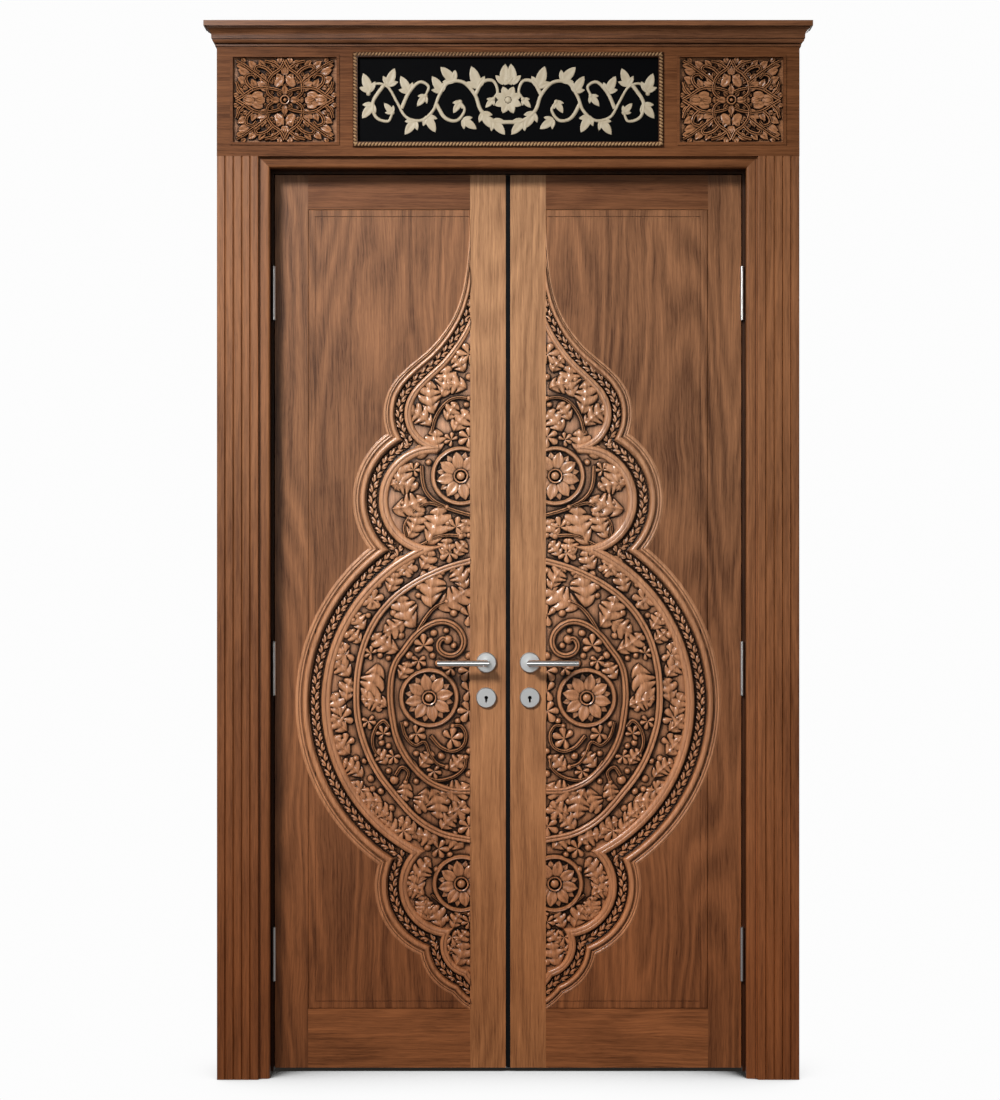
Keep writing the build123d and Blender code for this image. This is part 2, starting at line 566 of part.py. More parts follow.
def panel():
    """A flush panel: tongued all round, chamfered, with a border groove and the medallion's pocket."""
    slack = TONGUE_PLAY
    core = block(PANEL_NEAR + slack, PANEL_FAR - slack, LEAF_FRONT, LEAF_FRONT + PANEL_THICK,
                 PANEL_LOW + slack, PANEL_HIGH - slack)
    core = chamfer(core.faces().sort_by(Axis.Y)[0].outer_wire().edges(), PANEL_CHAMFER)
    tongue = TONGUE_DEPTH - slack
    thin = TONGUE_THICK / 2 - slack
    core += block(PANEL_NEAR - tongue, PANEL_FAR + tongue, -thin, thin,
                  PANEL_LOW - tongue, PANEL_HIGH + tongue)
    low = PANEL_LOW + BORDER_INSET
    high = PANEL_HIGH - BORDER_INSET
    far = PANEL_FAR - BORDER_INSET
    outside = area(PANEL_NEAR, far, low, high)
    inside = area(PANEL_NEAR, far - BORDER_GROOVE, low + BORDER_GROOVE, high - BORDER_GROOVE)
    core -= slab(outside - inside, LEAF_FRONT + BORDER_GROOVE_DEPTH, LEAF_FRONT)
    return core - slab(medallion_outline(POCKET_PX), LEAF_FRONT + MEDALLION_POCKET, LEAF_FRONT)


def edge_seal():
    """The strip along the meeting edge, cut back where the latch sweeps past it."""
    front = LEAF_FRONT + EDGE_SEAL_SETBACK
    back = front + EDGE_SEAL_THICK
    tip = MEETING_EDGE - EDGE_SEAL_OUT
    strip = block(tip, MEETING_EDGE, front, back, FLOOR_GAP, LEAF_TOP)
    rise = LATCH_HEIGHT / 2 + EDGE_SEAL_NOTCH_CLEAR
    return strip - block(tip, tip + EDGE_SEAL_NOTCH, front, back, LEVER_HEIGHT - rise, LEVER_HEIGHT + rise)


# Medallion
def carve(x, y):
    """A pixel of the left leaf as a place on the right one."""
    across = (PANEL_PX[2] - x) * CARVE_SCALE
    return (PANEL_NEAR + across, CARVE_MIDDLE + (CARVE_MIDDLE_PX - y) * CARVE_SCALE)


def carve_disc(x, y, radius):
    return Pos(*carve(x, y)) * Circle(radius * CARVE_SCALE)


def medallion_outline(inset):
    """The half medallion's lobed outline, drawn in all round by a number of pixels."""
    outline = Sketch() + shape([carve(*point) for point in FIELD_PX])
    outline += [carve_disc(x, y, radius - share * inset) for x, y, radius, share in LOBES_PX]
    for x, y, radius, share, high, low in CROWN_PX:
        left, top = carve(CROWN_LEFT_PX, high)
        bottom = carve(CROWN_LEFT_PX, low)[1]
        outline += area(PANEL_NEAR, left, bottom, top) - carve_disc(x, y, radius + share * inset)
    return outline & area(PANEL_NEAR, LEAF_EDGE, PANEL_LOW, PANEL_HIGH)


def medallion():
    """The carved board: edge mouldings, then ribs, rosettes, stems and leaves on a sunk ground."""
    edge = medallion_outline(0)
    outer_bead = medallion_outline(OUTER_BEAD_PX)
    body = medallion_outline(POCKET_PX + POCKET_PLAY / CARVE_SCALE)
    inner_bead = medallion_outline(INNER_BEAD_PX)
    band = medallion_outline(BAND_PX)
    ground = medallion_outline(RIB_PX)
    floor = LEAF_FRONT + MEDALLION_POCKET
    sunk = LEAF_FRONT - GROUND_LEVEL
    board = slab(body, floor, sunk)
    board += [slab(body - band, sunk, LEAF_FRONT - BAND_LEVEL),
              slab(edge - outer_bead, LEAF_FRONT, LEAF_FRONT - OUTER_BEAD_LEVEL),
              slab(body - inner_bead, LEAF_FRONT - BAND_LEVEL, LEAF_FRONT),
              slab(outer_bead - inner_bead, LEAF_FRONT, LEAF_FRONT - INNER_BEAD_LEVEL),
              slab(band - ground, sunk, LEAF_FRONT - RIB_LEVEL)]
    x, y, inner, outer = ARCH_PX
    ribs = [carve_disc(x, y, outer) - carve_disc(x, y, inner)]
    for start, end, *points in STEMS_PX:
        route = [carve(*point) for point in points]
        ribs.append(stem_outline(route, start * CARVE_SCALE, end * CARVE_SCALE))
    for x, y, ring, _ in ROSETTES_PX:
        ribs.append(carve_disc(x, y, ring) - carve_disc(x, y, ring - ROSETTE_RING_PX))
    foliage = [leaf_outline(carve(x0, y0), carve(x1, y1)) for x0, y0, x1, y1 in LEAVES_PX]
    for x, y, _, reach in ROSETTES_PX:
        foliage += petals(carve(x, y), reach * CARVE_SCALE)
    bosses = [carve_disc(x, y, ROSETTE_BOSS_PX) for x, y, _, _ in ROSETTES_PX] + [carve_disc(*BUD_PX)]
    raised = (Sketch() + ribs) & ground
    board += slab(raised, sunk, LEAF_FRONT - STEM_LEVEL)
    board += slab(((Sketch() + foliage) & ground) - raised, sunk, LEAF_FRONT - FOLIAGE_LEVEL)
    return board + slab(((Sketch() + bosses) & ground) - raised, sunk, LEAF_FRONT - BOSS_LEVEL)


# Hinges
def hinge(middle):
    """The frame's and the leaf's half of a lift-off hinge, with its pin, about a height."""
    bore = Pos(HINGE_X, HINGE_Y, middle) * Cylinder(PIN_RADIUS + PIN_PLAY, HINGE_LENGTH + OVERRUN)
    halves = []
    for end, wood, inward in ((-1, LEAF_EDGE + LEAF_PLAY, PLATE_THICK), (1, LEAF_EDGE, -PLATE_THICK)):
        near = middle + end * BARREL_GAP / 2
        far = middle + end * HINGE_LENGTH / 2
        barrel = Pos(HINGE_X, HINGE_Y, (near + far) / 2) * Cylinder(BARREL_RADIUS, abs(far - near))
        barrel += block(wood, wood + inward, HINGE_Y, LEAF_FRONT, near, far)
        halves.append(plate(middle, wood, inward) + barrel - bore)
    pin = Pos(HINGE_X, HINGE_Y, middle) * Cylinder(PIN_RADIUS, HINGE_LENGTH)
    return (*halves, pin)


def plate(middle, wood, inward):
    """A hinge plate let flush into the wood's edge face."""
    half = HINGE_LENGTH / 2
    return block(wood, wood + inward, LEAF_FRONT, LEAF_FRONT + PLATE_WIDTH, middle - half, middle + half)


# Lock and levers
def faceplate():
    half = FACEPLATE_WIDTH / 2
    deep = MEETING_EDGE + FACEPLATE_THICK
    return block(MEETING_EDGE, deep, -half, half, FACEPLATE_LOW, FACEPLATE_HIGH)


def bolt_slot(height, middle, near, far):
    """The clear space that a bolt slides in."""
    half = BOLT_THICK / 2 + BOLT_CLEAR
    rise = height / 2 + BOLT_CLEAR
    return block(near, far, -half, half, middle - rise, middle + rise)


def lock_body():
    half = CASE_THICK / 2
    near = MEETING_EDGE + FACEPLATE_THICK
    return block(near, near + CASE_DEPTH, -half, half, KEY_HEIGHT - CASE_BELOW, LEVER_HEIGHT + CASE_ABOVE)


def keyhole(back, front):
    drop = KEY_HEIGHT - KEY_SLOT_DROP
    half = KEY_SLOT_WIDTH / 2
    slot = area(LOCK_X - half, LOCK_X + half, drop, KEY_HEIGHT)
    return slab(slot + Pos(LOCK_X, KEY_HEIGHT) * Circle(KEY_RADIUS), back, front)


def latch_space():
    near = MEETING_EDGE - LATCH_OUT
    return bolt_slot(LATCH_HEIGHT, LEVER_HEIGHT, near, near + LATCH_LENGTH + LATCH_ROOM)


def dead_space():
    far = MEETING_EDGE + DEAD_SHY + DEAD_LENGTH + BOLT_CLEAR
    return bolt_slot(DEAD_HEIGHT, KEY_HEIGHT, MEETING_EDGE, far)


def strike_spaces():
    """The hollows that take the thrown bolts, on the other leaf."""
    far = MEETING_EDGE + DEAD_THROW - MEETING_GAP + STRIKE_ROOM
    return [bolt_slot(LATCH_HEIGHT, LEVER_HEIGHT, MEETING_EDGE, far),
            bolt_slot(DEAD_HEIGHT, KEY_HEIGHT, MEETING_EDGE, far)]


def lock_case(spaces):
    """A lock case with its follower's bore, its keyhole and the spaces for the bolts."""
    bore = FOLLOWER_RADIUS + FOLLOWER_CLEAR
    body = lock_body() - rod(bore, LOCK_X, LEVER_HEIGHT, CASE_THICK, -CASE_THICK)
    body -= keyhole(CASE_THICK, -CASE_THICK)
    return body - spaces


def latch_bolt():
    near = MEETING_EDGE - LATCH_OUT
    half = BOLT_THICK / 2
    rise = LATCH_HEIGHT / 2
    bar = block(near, near + LATCH_LENGTH, -half, half, LEVER_HEIGHT - rise, LEVER_HEIGHT + rise)
    nose = bar.edges().filter_by(Axis.Z).sort_by_distance((near, half, LEVER_HEIGHT))[0]
    return chamfer(nose, LATCH_BEVEL)


def dead_bolt():
    near = MEETING_EDGE + DEAD_SHY
    half = BOLT_THICK / 2
    rise = DEAD_HEIGHT / 2
    return block(near, near + DEAD_LENGTH, -half, half, KEY_HEIGHT - rise, KEY_HEIGHT + rise)


def square_bar(size, back, front):
    half = size / 2
    square = area(LOCK_X - half, LOCK_X + half, LEVER_HEIGHT - half, LEVER_HEIGHT + half)
    return slab(square, back, front)


def follower():
    half = FOLLOWER_THICK / 2
    disc = rod(FOLLOWER_RADIUS, LOCK_X, LEVER_HEIGHT, half, -half)
    return disc - square_bar(SPINDLE + SPINDLE_PLAY, half, -half)


def spindle():
    end = LEAF_BACK + SPINDLE_GRIP - SPINDLE_PLAY
    return square_bar(SPINDLE, end, -end)


def rose(height, hole):
    """A round rose on the leaf's face with a bevelled rim and the hole that it guards."""
    front = LEAF_FRONT - ROSE_THICK
    disc = rod(ROSE_RADIUS, LOCK_X, height, LEAF_FRONT, front)
    return chamfer(disc.faces().sort_by(Axis.Y)[0].edges(), ROSE_BEVEL) - hole


def lever():
    """A round bar that stands out from the rose and turns, at a mitre, towards the hinges."""
    foot = LEAF_FRONT - LEVER_SEAT
    out = LEAF_FRONT - LEVER_OUT
    end = LOCK_X + LEVER_REACH
    path = Polyline((LOCK_X, foot, LEVER_HEIGHT), (LOCK_X, out, LEVER_HEIGHT), (end, out, LEVER_HEIGHT))
    section = Plane(origin=path @ 0, z_dir=(0, -1, 0)) * Circle(LEVER_RADIUS)
    bar = sweep(section, path=path, transition=Transition.RIGHT)
    bar = chamfer(bar.faces().sort_by(Axis.X)[-1].edges(), LEVER_BEVEL)
    return bar - square_bar(SPINDLE + SPINDLE_PLAY, LEAF_FRONT, LEAF_FRONT - SPINDLE_GRIP)


def to_back(part):
    """The same piece on the leaf's inner face."""
    return mirror(part, about=Plane.XZ)


def build():
    """Every piece by its node's name."""
    nodes = {}

    def pair(name, part):
        nodes["right_" + name] = part
        nodes["left_" + name] = mirrored(part)

    # frame
    jamb = side_member(jamb_section)
    for height in ANCHOR_HEIGHTS:
        y = LEAF_BACK + ANCHOR_BEHIND_LEAF
        length = STOP_LAP + JAMB_OUTER + OVERRUN
        middle = LEAF_EDGE + (JAMB_OUTER - STOP_LAP) / 2
        jamb -= Pos(middle, y, height) * Rot(0, 90, 0) * Cylinder(ANCHOR_RADIUS, length)
    hinges = [hinge(height) for height in HINGE_HEIGHTS]
    jamb -= [plate(height, LEAF_EDGE + LEAF_PLAY, PLATE_THICK) for height in HINGE_HEIGHTS]
    pair("jamb", jamb)
    nodes["head_jamb"] = head_member(jamb_section)
    pair("bead", side_member(bead_section))
    nodes["head_bead"] = head_member(bead_section)
    seal = side_member(seal_section)
    nodes["stop_seal"] = head_member(seal_section) + seal + mirrored(seal)
    pair("casing", casing())
    nodes["frieze_board"] = frieze_board()
    pair("frieze_carving", carved_panel())
    pair("frieze_moulding", moulding(CARVED_WIDTH, FIELD_HEIGHT, CARVED_MIDDLE, CARVED_MOULD_WIDTH,
                                     CARVED_MOULD_PROUD))
    centre = field(CENTRE_WIDTH, FIELD_HEIGHT, 0)
    nodes["centre_board"] = slab(centre, CASING_FRONT + CENTRE_DEPTH, CASING_FRONT + CENTRE_SHY)
    nodes["centre_scrollwork"] = scrollwork()
    nodes["centre_moulding"] = centre_moulding()
    nodes["cornice"] = cornice()

    # leaves
    hinge_stile = stile(PANEL_FAR, LEAF_EDGE, PANEL_FAR)
    hinge_stile -= [plate(height, LEAF_EDGE, -PLATE_THICK) for height in HINGE_HEIGHTS]
    pair("hinge_stile", hinge_stile)
    meeting_stile = stile(MEETING_EDGE, PANEL_NEAR, PANEL_NEAR) - faceplate() - lock_body()
    meeting_stile -= rod(SPINDLE_BORE_RADIUS, LOCK_X, LEVER_HEIGHT, LEAF_BACK, LEAF_FRONT)
    meeting_stile -= keyhole(LEAF_BACK, LEAF_FRONT)
    pair("meeting_stile", meeting_stile)
    pair("top_rail", rail(PANEL_HIGH, LEAF_TOP, PANEL_HIGH))
    pair("bottom_rail", rail(FLOOR_GAP, PANEL_LOW, PANEL_LOW))
    pair("panel", panel())
    pair("medallion", medallion())
    pair("edge_seal", edge_seal())

    # hinges
    pair("frame_hinge_halves", Part() + [frame_half for frame_half, _, _ in hinges])
    pair("leaf_hinge_halves", Part() + [leaf_half for _, leaf_half, _ in hinges])
    pair("hinge_pins", Part() + [pin for _, _, pin in hinges])

    # levers and lock
    lever_hole = rod(LEVER_RADIUS + LEVER_CLEAR, LOCK_X, LEVER_HEIGHT, LEAF_FRONT, LEAF_FRONT - ROSE_THICK)
    key_hole = keyhole(LEAF_FRONT, LEAF_FRONT - ROSE_THICK)
    roses = Part() + [rose(LEVER_HEIGHT, lever_hole), rose(KEY_HEIGHT, key_hole)]
    pair("outer_roses", roses)
    pair("inner_roses", to_back(roses))
    pair("outer_lever", lever())
    pair("inner_lever", to_back(lever()))
    pair("spindle", spindle())
    pair("follower", follower())
    bolt_spaces = [latch_space(), dead_space()]
    nodes["lock_case"] = lock_case(bolt_spaces)
    nodes["lock_faceplate"] = faceplate() - bolt_spaces
    nodes["latch_bolt"] = latch_bolt()
    nodes["dead_bolt"] = dead_bolt()
    nodes["strike_case"] = mirrored(lock_case(strike_spaces()))
    nodes["strike_plate"] = mirrored(faceplate() - strike_spaces())
    return nodes


os.makedirs("parts", exist_ok=True)
for name, part in build().items():
    export_step(part, f"parts/{name}.step")
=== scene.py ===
import math

import bmesh
import bpy
import numpy as np
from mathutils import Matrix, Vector
from mathutils.geometry import tessellate_polygon


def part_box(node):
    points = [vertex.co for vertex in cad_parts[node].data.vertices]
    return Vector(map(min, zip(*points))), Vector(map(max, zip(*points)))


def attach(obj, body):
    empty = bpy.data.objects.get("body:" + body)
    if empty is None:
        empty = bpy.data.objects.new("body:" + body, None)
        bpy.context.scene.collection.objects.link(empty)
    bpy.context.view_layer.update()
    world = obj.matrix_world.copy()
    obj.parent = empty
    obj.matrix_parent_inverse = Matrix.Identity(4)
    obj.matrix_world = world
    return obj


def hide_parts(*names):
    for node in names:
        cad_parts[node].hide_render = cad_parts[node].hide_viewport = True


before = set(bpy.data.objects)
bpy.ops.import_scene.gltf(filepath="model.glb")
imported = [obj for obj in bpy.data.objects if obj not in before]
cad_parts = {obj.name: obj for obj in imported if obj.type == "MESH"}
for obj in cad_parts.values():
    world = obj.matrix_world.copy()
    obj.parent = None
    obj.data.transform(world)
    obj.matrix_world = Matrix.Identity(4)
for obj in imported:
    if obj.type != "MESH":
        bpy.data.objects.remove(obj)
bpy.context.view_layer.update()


# Frame: planed hardwood jambs, beads, reeded casings, frieze board and moulded cornice, fixed to the wall.
# The boards are oiled warm mid brown, with painted shade near the floor; their grain follows each board's
# length.
class Value:
    """A socket in a material; sums on it add the Math nodes that work them out."""

    def __init__(self, tree, socket=None):
        self.tree = tree
        self.socket = socket

    def node(self, kind, settings, out=0, **sockets):
        made = self.tree.nodes.new("ShaderNode" + kind)
        for name, setting in settings.items():
            setattr(made, name, setting)
        for name, value in sockets.items():
            socket = made.inputs[int(name[1:]) if name[1:].isdigit() else name.replace("_", " ")]
            if isinstance(value, Value):
                self.tree.links.new(value.socket, socket)
            else:
                socket.default_value = value
        return Value(self.tree, made.outputs[out])

    def sum(self, operation, a, b, clamp=False):
        return self.node("Math", {"operation": operation, "use_clamp": clamp}, i0=a, i1=b)

    def __add__(self, other):
        return self.sum("ADD", self, other)

    __radd__ = __add__

    def __sub__(self, other):
        return self.sum("SUBTRACT", self, other)

    def __rsub__(self, other):
        return self.sum("SUBTRACT", other, self)

    def __mul__(self, other):
        return self.sum("MULTIPLY", self, other)

    __rmul__ = __mul__

    def clamped(self):
        return self.sum("ADD", self, 0.0, clamp=True)

    def mix(self, a, b):
        return self.node("Mix", {"data_type": "RGBA"}, out=2, Factor=self, i6=a, i7=b)

    def to(self, socket):
        self.tree.links.new(self.socket, socket)


def new_material(name, color, roughness, metallic=0.0):
    material = bpy.data.materials.new(name)
    material.use_nodes = True
    shader = material.node_tree.nodes["Principled BSDF"]
    shader.inputs["Base Color"].default_value = (*color, 1)
    shader.inputs["Roughness"].default_value = roughness
    shader.inputs["Metallic"].default_value = metallic
    return material, shader, Value(material.node_tree)


# Painted shade: how much darker and redder the wood turns near the floor, and the heights where that starts
# and is full.
LOW_SHADE_SHARES = (0.97, 0.73, 0.55)
LOW_SHADE_FROM, LOW_SHADE_BELOW = 1.55, 0.25
# Painted shade: the near-black colour painted into hollows and creases, and the share of the reach used for
# creases.
HOLLOW_SHADE = (0.008, 0.0027, 0.0011, 1)
CREASE_SHARE = 0.3


def timber(name, along, deep, pale, figure, hollow=None, sheen=0.18, reach=0.017):
    """Oiled hardwood grained along an axis; painted shade near the floor and in its hollows, if their depths
    are given.
    """
    material, shader, value = new_material(name, pale, 0.4)
    shader.inputs["Specular IOR Level"].default_value = sheen
    place = value.node("TexCoord", {}, out="Object")

    def noise(across, length, detail, roughness=0.5, start=place):
        scale = [length if axis == along else across for axis in "XYZ"]
        point = value.node("Mapping", {}, Vector=start, Scale=scale)
        return value.node("TexNoise", {}, Vector=point, Scale=1.0, Detail=detail, Roughness=roughness)

    bend = (noise(7.0, 3.0, 2.0) - 0.5) * (0.034 * figure)
    wander = value.node("CombineXYZ", {}, **{"Z" if along == "X" else "X": bend})
    grain = value.node("VectorMath", {"operation": "ADD"}, out="Vector", i0=place, i1=wander)
    broad = noise(5.0, 0.9, 2.0) - 0.5
    rings = noise(4.5, 0.6, 1.5, start=grain)
    bands = value.sum("SINE", rings * 110.0, 0.0)
    knots = value.sum("MULTIPLY", noise(11.0, 5.0, 3.0, 0.6) - 0.58, 3.5, clamp=True)
    streaks = noise(190.0, 4.5, 5.0, 0.62, start=grain) - 0.5
    fibres = noise(700.0, 24.0, 2.0, start=grain) - 0.5
    pores = value.sum("MULTIPLY", noise(950.0, 40.0, 1.0, start=grain) - 0.6, 5.0, clamp=True)
    tone = 0.53 + broad * 0.9 + bands * (0.12 * figure) + streaks * 1.2 + fibres * 0.8 - pores * 0.3
    tone = (tone - knots * (0.3 * figure)).clamped()
    # Painted shade: from about 1.55 m down to 0.25 m above the floor the colour turns darker and redder.
    height = value.node("SeparateXYZ", {}, out="Z", Vector=place)
    foot = value.node("MapRange", {}, Value=height, From_Min=LOW_SHADE_FROM, From_Max=LOW_SHADE_BELOW)
    shaded_deep, shaded_pale = (np.multiply(wood, LOW_SHADE_SHARES) for wood in (deep, pale))
    color = foot.mix(tone.mix((*deep, 1), (*pale, 1)), tone.mix((*shaded_deep, 1), (*shaded_pale, 1)))
    if hollow:
        crest, floor = hollow
        depth = value.node("SeparateXYZ", {}, out="Y", Vector=place)
        sunk = value.node("MapRange", {}, Value=depth, From_Min=crest, From_Max=floor)
        own = {"samples": 6, "only_local": True}
        shut = 1.0 - value.node("AmbientOcclusion", own, out="AO", Distance=reach)
        crease = 1.0 - value.node("AmbientOcclusion", own, out="AO", Distance=reach * CREASE_SHARE)
        # Painted shade: darker with depth below the crest and where ambient occlusion finds creases and
        # recesses.
        hollow_shade = (sunk * 0.54 + shut * 2.6 + crease * 1.3 - 0.44).clamped()
        color = hollow_shade.mix(color, HOLLOW_SHADE)
        shader.inputs["Coat Roughness"].default_value = 0.25
        gloss = 7.5 * sheen
        (gloss - hollow_shade * gloss).to(shader.inputs["Coat Weight"])
    color.to(shader.inputs["Base Color"])
    (0.42 + fibres * 0.2 + pores * 0.15).to(shader.inputs["Roughness"])
    relief = fibres * 0.4 + streaks * 0.3 - pores
    bump = value.node("Bump", {}, Height=relief, Strength=0.12, Distance=0.0008)
    bump.to(shader.inputs["Normal"])
    return material


def give(material, *names):
    """The material on the named pieces of the frame."""
    for name in names:
        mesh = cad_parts[name].data
        mesh.materials.clear()
        mesh.materials.append(material)


upright_frame_wood = timber("frame wood upright", "Z", (0.085, 0.027, 0.008), (0.34, 0.14, 0.056), 0.5)
level_frame_wood = timber("frame wood level", "X", (0.050, 0.0155, 0.0047), (0.234, 0.089, 0.034), 0.5,
                          sheen=0.05)
# Painted shade: the jambs get a near-black brown that stands in for the shade in the reveals.
shaded_jamb_wood = timber("shaded jamb wood", "Z", (0.012, 0.004, 0.0015), (0.07, 0.025, 0.009), 0.5)
give(shaded_jamb_wood, "left_jamb", "right_jamb", "head_jamb")
give(upright_frame_wood, "left_bead", "right_bead", "left_casing", "right_casing")
give(level_frame_wood, "head_bead", "frieze_board")
# Painted shade: the cornice darkens towards the wall and in its coves, where they face down away from the
# light.
COVE_SHADE_DEPTH, COVE_SHADE_REACH = 0.05, 0.06
cornice_low, cornice_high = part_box("cornice")
cornice_wood = timber("cornice wood", "X", (0.060, 0.020, 0.0065), (0.29, 0.118, 0.050), 0.5,
                      (cornice_low.y - COVE_SHADE_DEPTH, cornice_high.y), 0.05, COVE_SHADE_REACH)
give(cornice_wood, "cornice")


# Frieze carvings: two panels of four-fold arabesque, let into the frieze inside thin mouldings.
# They are carved from one board each; straps and leaves stand on a deep ground darkened by painted shade.
def metres(rows, width, height):
    """Places given as shares of a field's half width and half height, in metres."""
    return np.array(rows, float) * (width, height)


def raised(line, level):
    """A flat line lifted to a level."""
    return np.c_[line, np.full(len(line), level)]


def grid_faces(points, closed=False):
    """A patch of rows and columns of points, with its faces turned to the front."""
    rows, columns = points.shape[:2]
    index = np.arange(rows * columns).reshape(rows, columns)
    if closed:
        index = np.hstack([index, index[:, :1]])
    corners = [index[:-1, :-1], index[1:, :-1], index[1:, 1:], index[:-1, 1:]]
    faces = np.stack(corners, axis=-1).reshape(-1, 4)
    flat = points.reshape(-1, 3)
    a, b, c = (flat[faces[:, k]] for k in range(3))
    if np.cross(b - a, c - a)[:, 2].sum() < 0:
        faces = faces[:, ::-1]
    return flat, faces


def petal_shape(steps=7, across=6):
    """A pointed petal of unit length with a raised rim and a hollow middle."""
    u = np.linspace(0, 1, steps + 1)[:, None]
    v = np.linspace(-1, 1, across + 1)[None, :]
    half = 0.3 * np.sin(np.pi * (0.14 + 0.86 * u)) ** 0.75
    z = (0.55 + 0.45 * np.sin(np.pi * u ** 1.2)) * (1 - 0.25 * v ** 4)
    z = z - 0.42 * np.exp(-(v / 0.45) ** 2) * np.sin(np.pi * u)
    return grid_faces(np.dstack([u + 0 * v, v * half, z]))


def dome_shape(rings=4, around=16):
    """A round button of unit radius and height."""
    a = np.linspace(0, 2 * np.pi, around, endpoint=False)[None, :]
    t = np.linspace(0.04, np.pi / 2, rings + 1)[:, None]
    x, y = np.sin(t) * np.cos(a), np.sin(t) * np.sin(a)
    points, faces = grid_faces(np.dstack([x, y, np.cos(t) + 0 * a]), closed=True)
    points = np.vstack([points, [(0, 0, 1)]])
    tip = len(points) - 1
    return points, [*faces, *[(i, (i + 1) % around, tip) for i in range(around)]]


def curve_through(points, steps):
    """A smooth line through the points."""
    points = np.array(points, float)
    padded = np.vstack([2 * points[0] - points[1], points, 2 * points[-1] - points[-2]])
    line = []
    for i in range(len(points) - 1):
        p0, p1, p2, p3 = padded[i:i + 4]
        t = np.linspace(0, 1, steps, endpoint=False)[:, None]
        bow = 2 * p0 - 5 * p1 + 4 * p2 - p3 + t * (3 * (p1 - p2) + p3 - p0)
        line.append(p1 + 0.5 * t * (p2 - p0 + t * bow))
    return np.vstack([*line, points[-1:]])


def sideways(line):
    """The way across a flat line at each of its points."""
    run = np.gradient(line, axis=0)
    return np.stack([run[:, 1], -run[:, 0]], axis=1) / np.linalg.norm(run, axis=1)[:, None]


def stem_patch(points, start, end, floor, crest, groove=0.25):
    """A rounded stem with a fine hollow along it, narrowing from one width to another."""
    line = curve_through(points, 6)
    side = -sideways(line)
    half = np.linspace(start, end, len(line))[:, None] / 2
    v = np.array([-1, -0.92, -0.7, -0.35, 0, 0.35, 0.7, 0.92, 1])
    rise = 1 - 0.7 * v ** 4 - groove * np.exp(-(v / 0.3) ** 2)
    shape = np.zeros((len(line), len(v), 3))
    shape[:, :, :2] = line[:, None] + side[:, None] * (half * v[None, :])[:, :, None]
    shape[:, :, 2] = floor + (crest - floor) * rise
    return grid_faces(shape)


def ring_patch(middle, inner, outer, profile, around=56):
    """A round moulding; the profile gives shares of its width and its heights."""
    a = np.linspace(0, 2 * np.pi, around, endpoint=False)
    shape = np.zeros((len(profile), around, 3))
    for row, (share, height) in enumerate(profile):
        radius = inner + (outer - inner) * share
        shape[row, :, 0] = middle[0] + radius * np.cos(a)
        shape[row, :, 1] = middle[1] + radius * np.sin(a)
        shape[row, :, 2] = height
    return grid_faces(shape, closed=True)


def petal_ring(middle, count, foot, petals, shift=0.0):
    """Rows for petals round a middle; the given tips, widths and heights take turns."""
    rows = []
    for k in range(count):
        a = 2 * math.pi * (k + shift) / count
        way = np.array((math.cos(a), math.sin(a)))
        tip, wide, high = petals[k % len(petals)]
        rows.append((*(middle + way * foot), *(middle + way * tip), wide, high))
    return rows


def new_object(name, data):
    """An object at the origin that holds a mesh, a lamp or a camera."""
    made = bpy.data.objects.new(name, data)
    bpy.context.scene.collection.objects.link(made)
    return made


def mesh_object(name, points, faces, edges=()):
    mesh = bpy.data.meshes.new(name)
    mesh.from_pydata([tuple(p) for p in points], edges, [tuple(int(i) for i in f) for f in faces])
    return new_object(name, mesh)


def nodes_tree(name, **inputs):
    """An empty Geometry Nodes tree with a geometry in and out and the named inputs."""
    tree = bpy.data.node_groups.new(name, "GeometryNodeTree")
    tree.interface.new_socket("Geometry", in_out="OUTPUT", socket_type="NodeSocketGeometry")
    tree.interface.new_socket("Geometry", in_out="INPUT", socket_type="NodeSocketGeometry")
    for label, kind in inputs.items():
        tree.interface.new_socket(label, in_out="INPUT", socket_type="NodeSocket" + kind)
    return tree


def tree_node(tree, kind, settings=(), **links):
    """A node in a Geometry Nodes tree: its settings first, then the values or links of its sockets."""
    made = tree.nodes.new(kind)
    for name, setting in dict(settings).items():
        setattr(made, name, setting)
    for name, value in links.items():
        socket = made.inputs[name.replace("_", " ")]
        if isinstance(value, bpy.types.NodeSocket):
            tree.links.new(value, socket)
        else:
            socket.default_value = value
    return made


def worked(tree, start, **values):
    """The points and faces that a Geometry Nodes tree makes of a mesh."""
    modifier = start.modifiers.new(tree.name, "NODES")
    modifier.node_group = tree
    for item in tree.interface.items_tree:
        if item.in_out == "INPUT" and item.name in values:
            modifier[item.identifier] = values[item.name]
    evaluated = start.evaluated_get(bpy.context.evaluated_depsgraph_get())
    mesh = bpy.data.meshes.new_from_object(evaluated)
    points = np.array([v.co for v in mesh.vertices])
    faces = [tuple(p.vertices) for p in mesh.polygons]
    bpy.data.meshes.remove(mesh)
    bpy.data.objects.remove(start)
    return points, faces


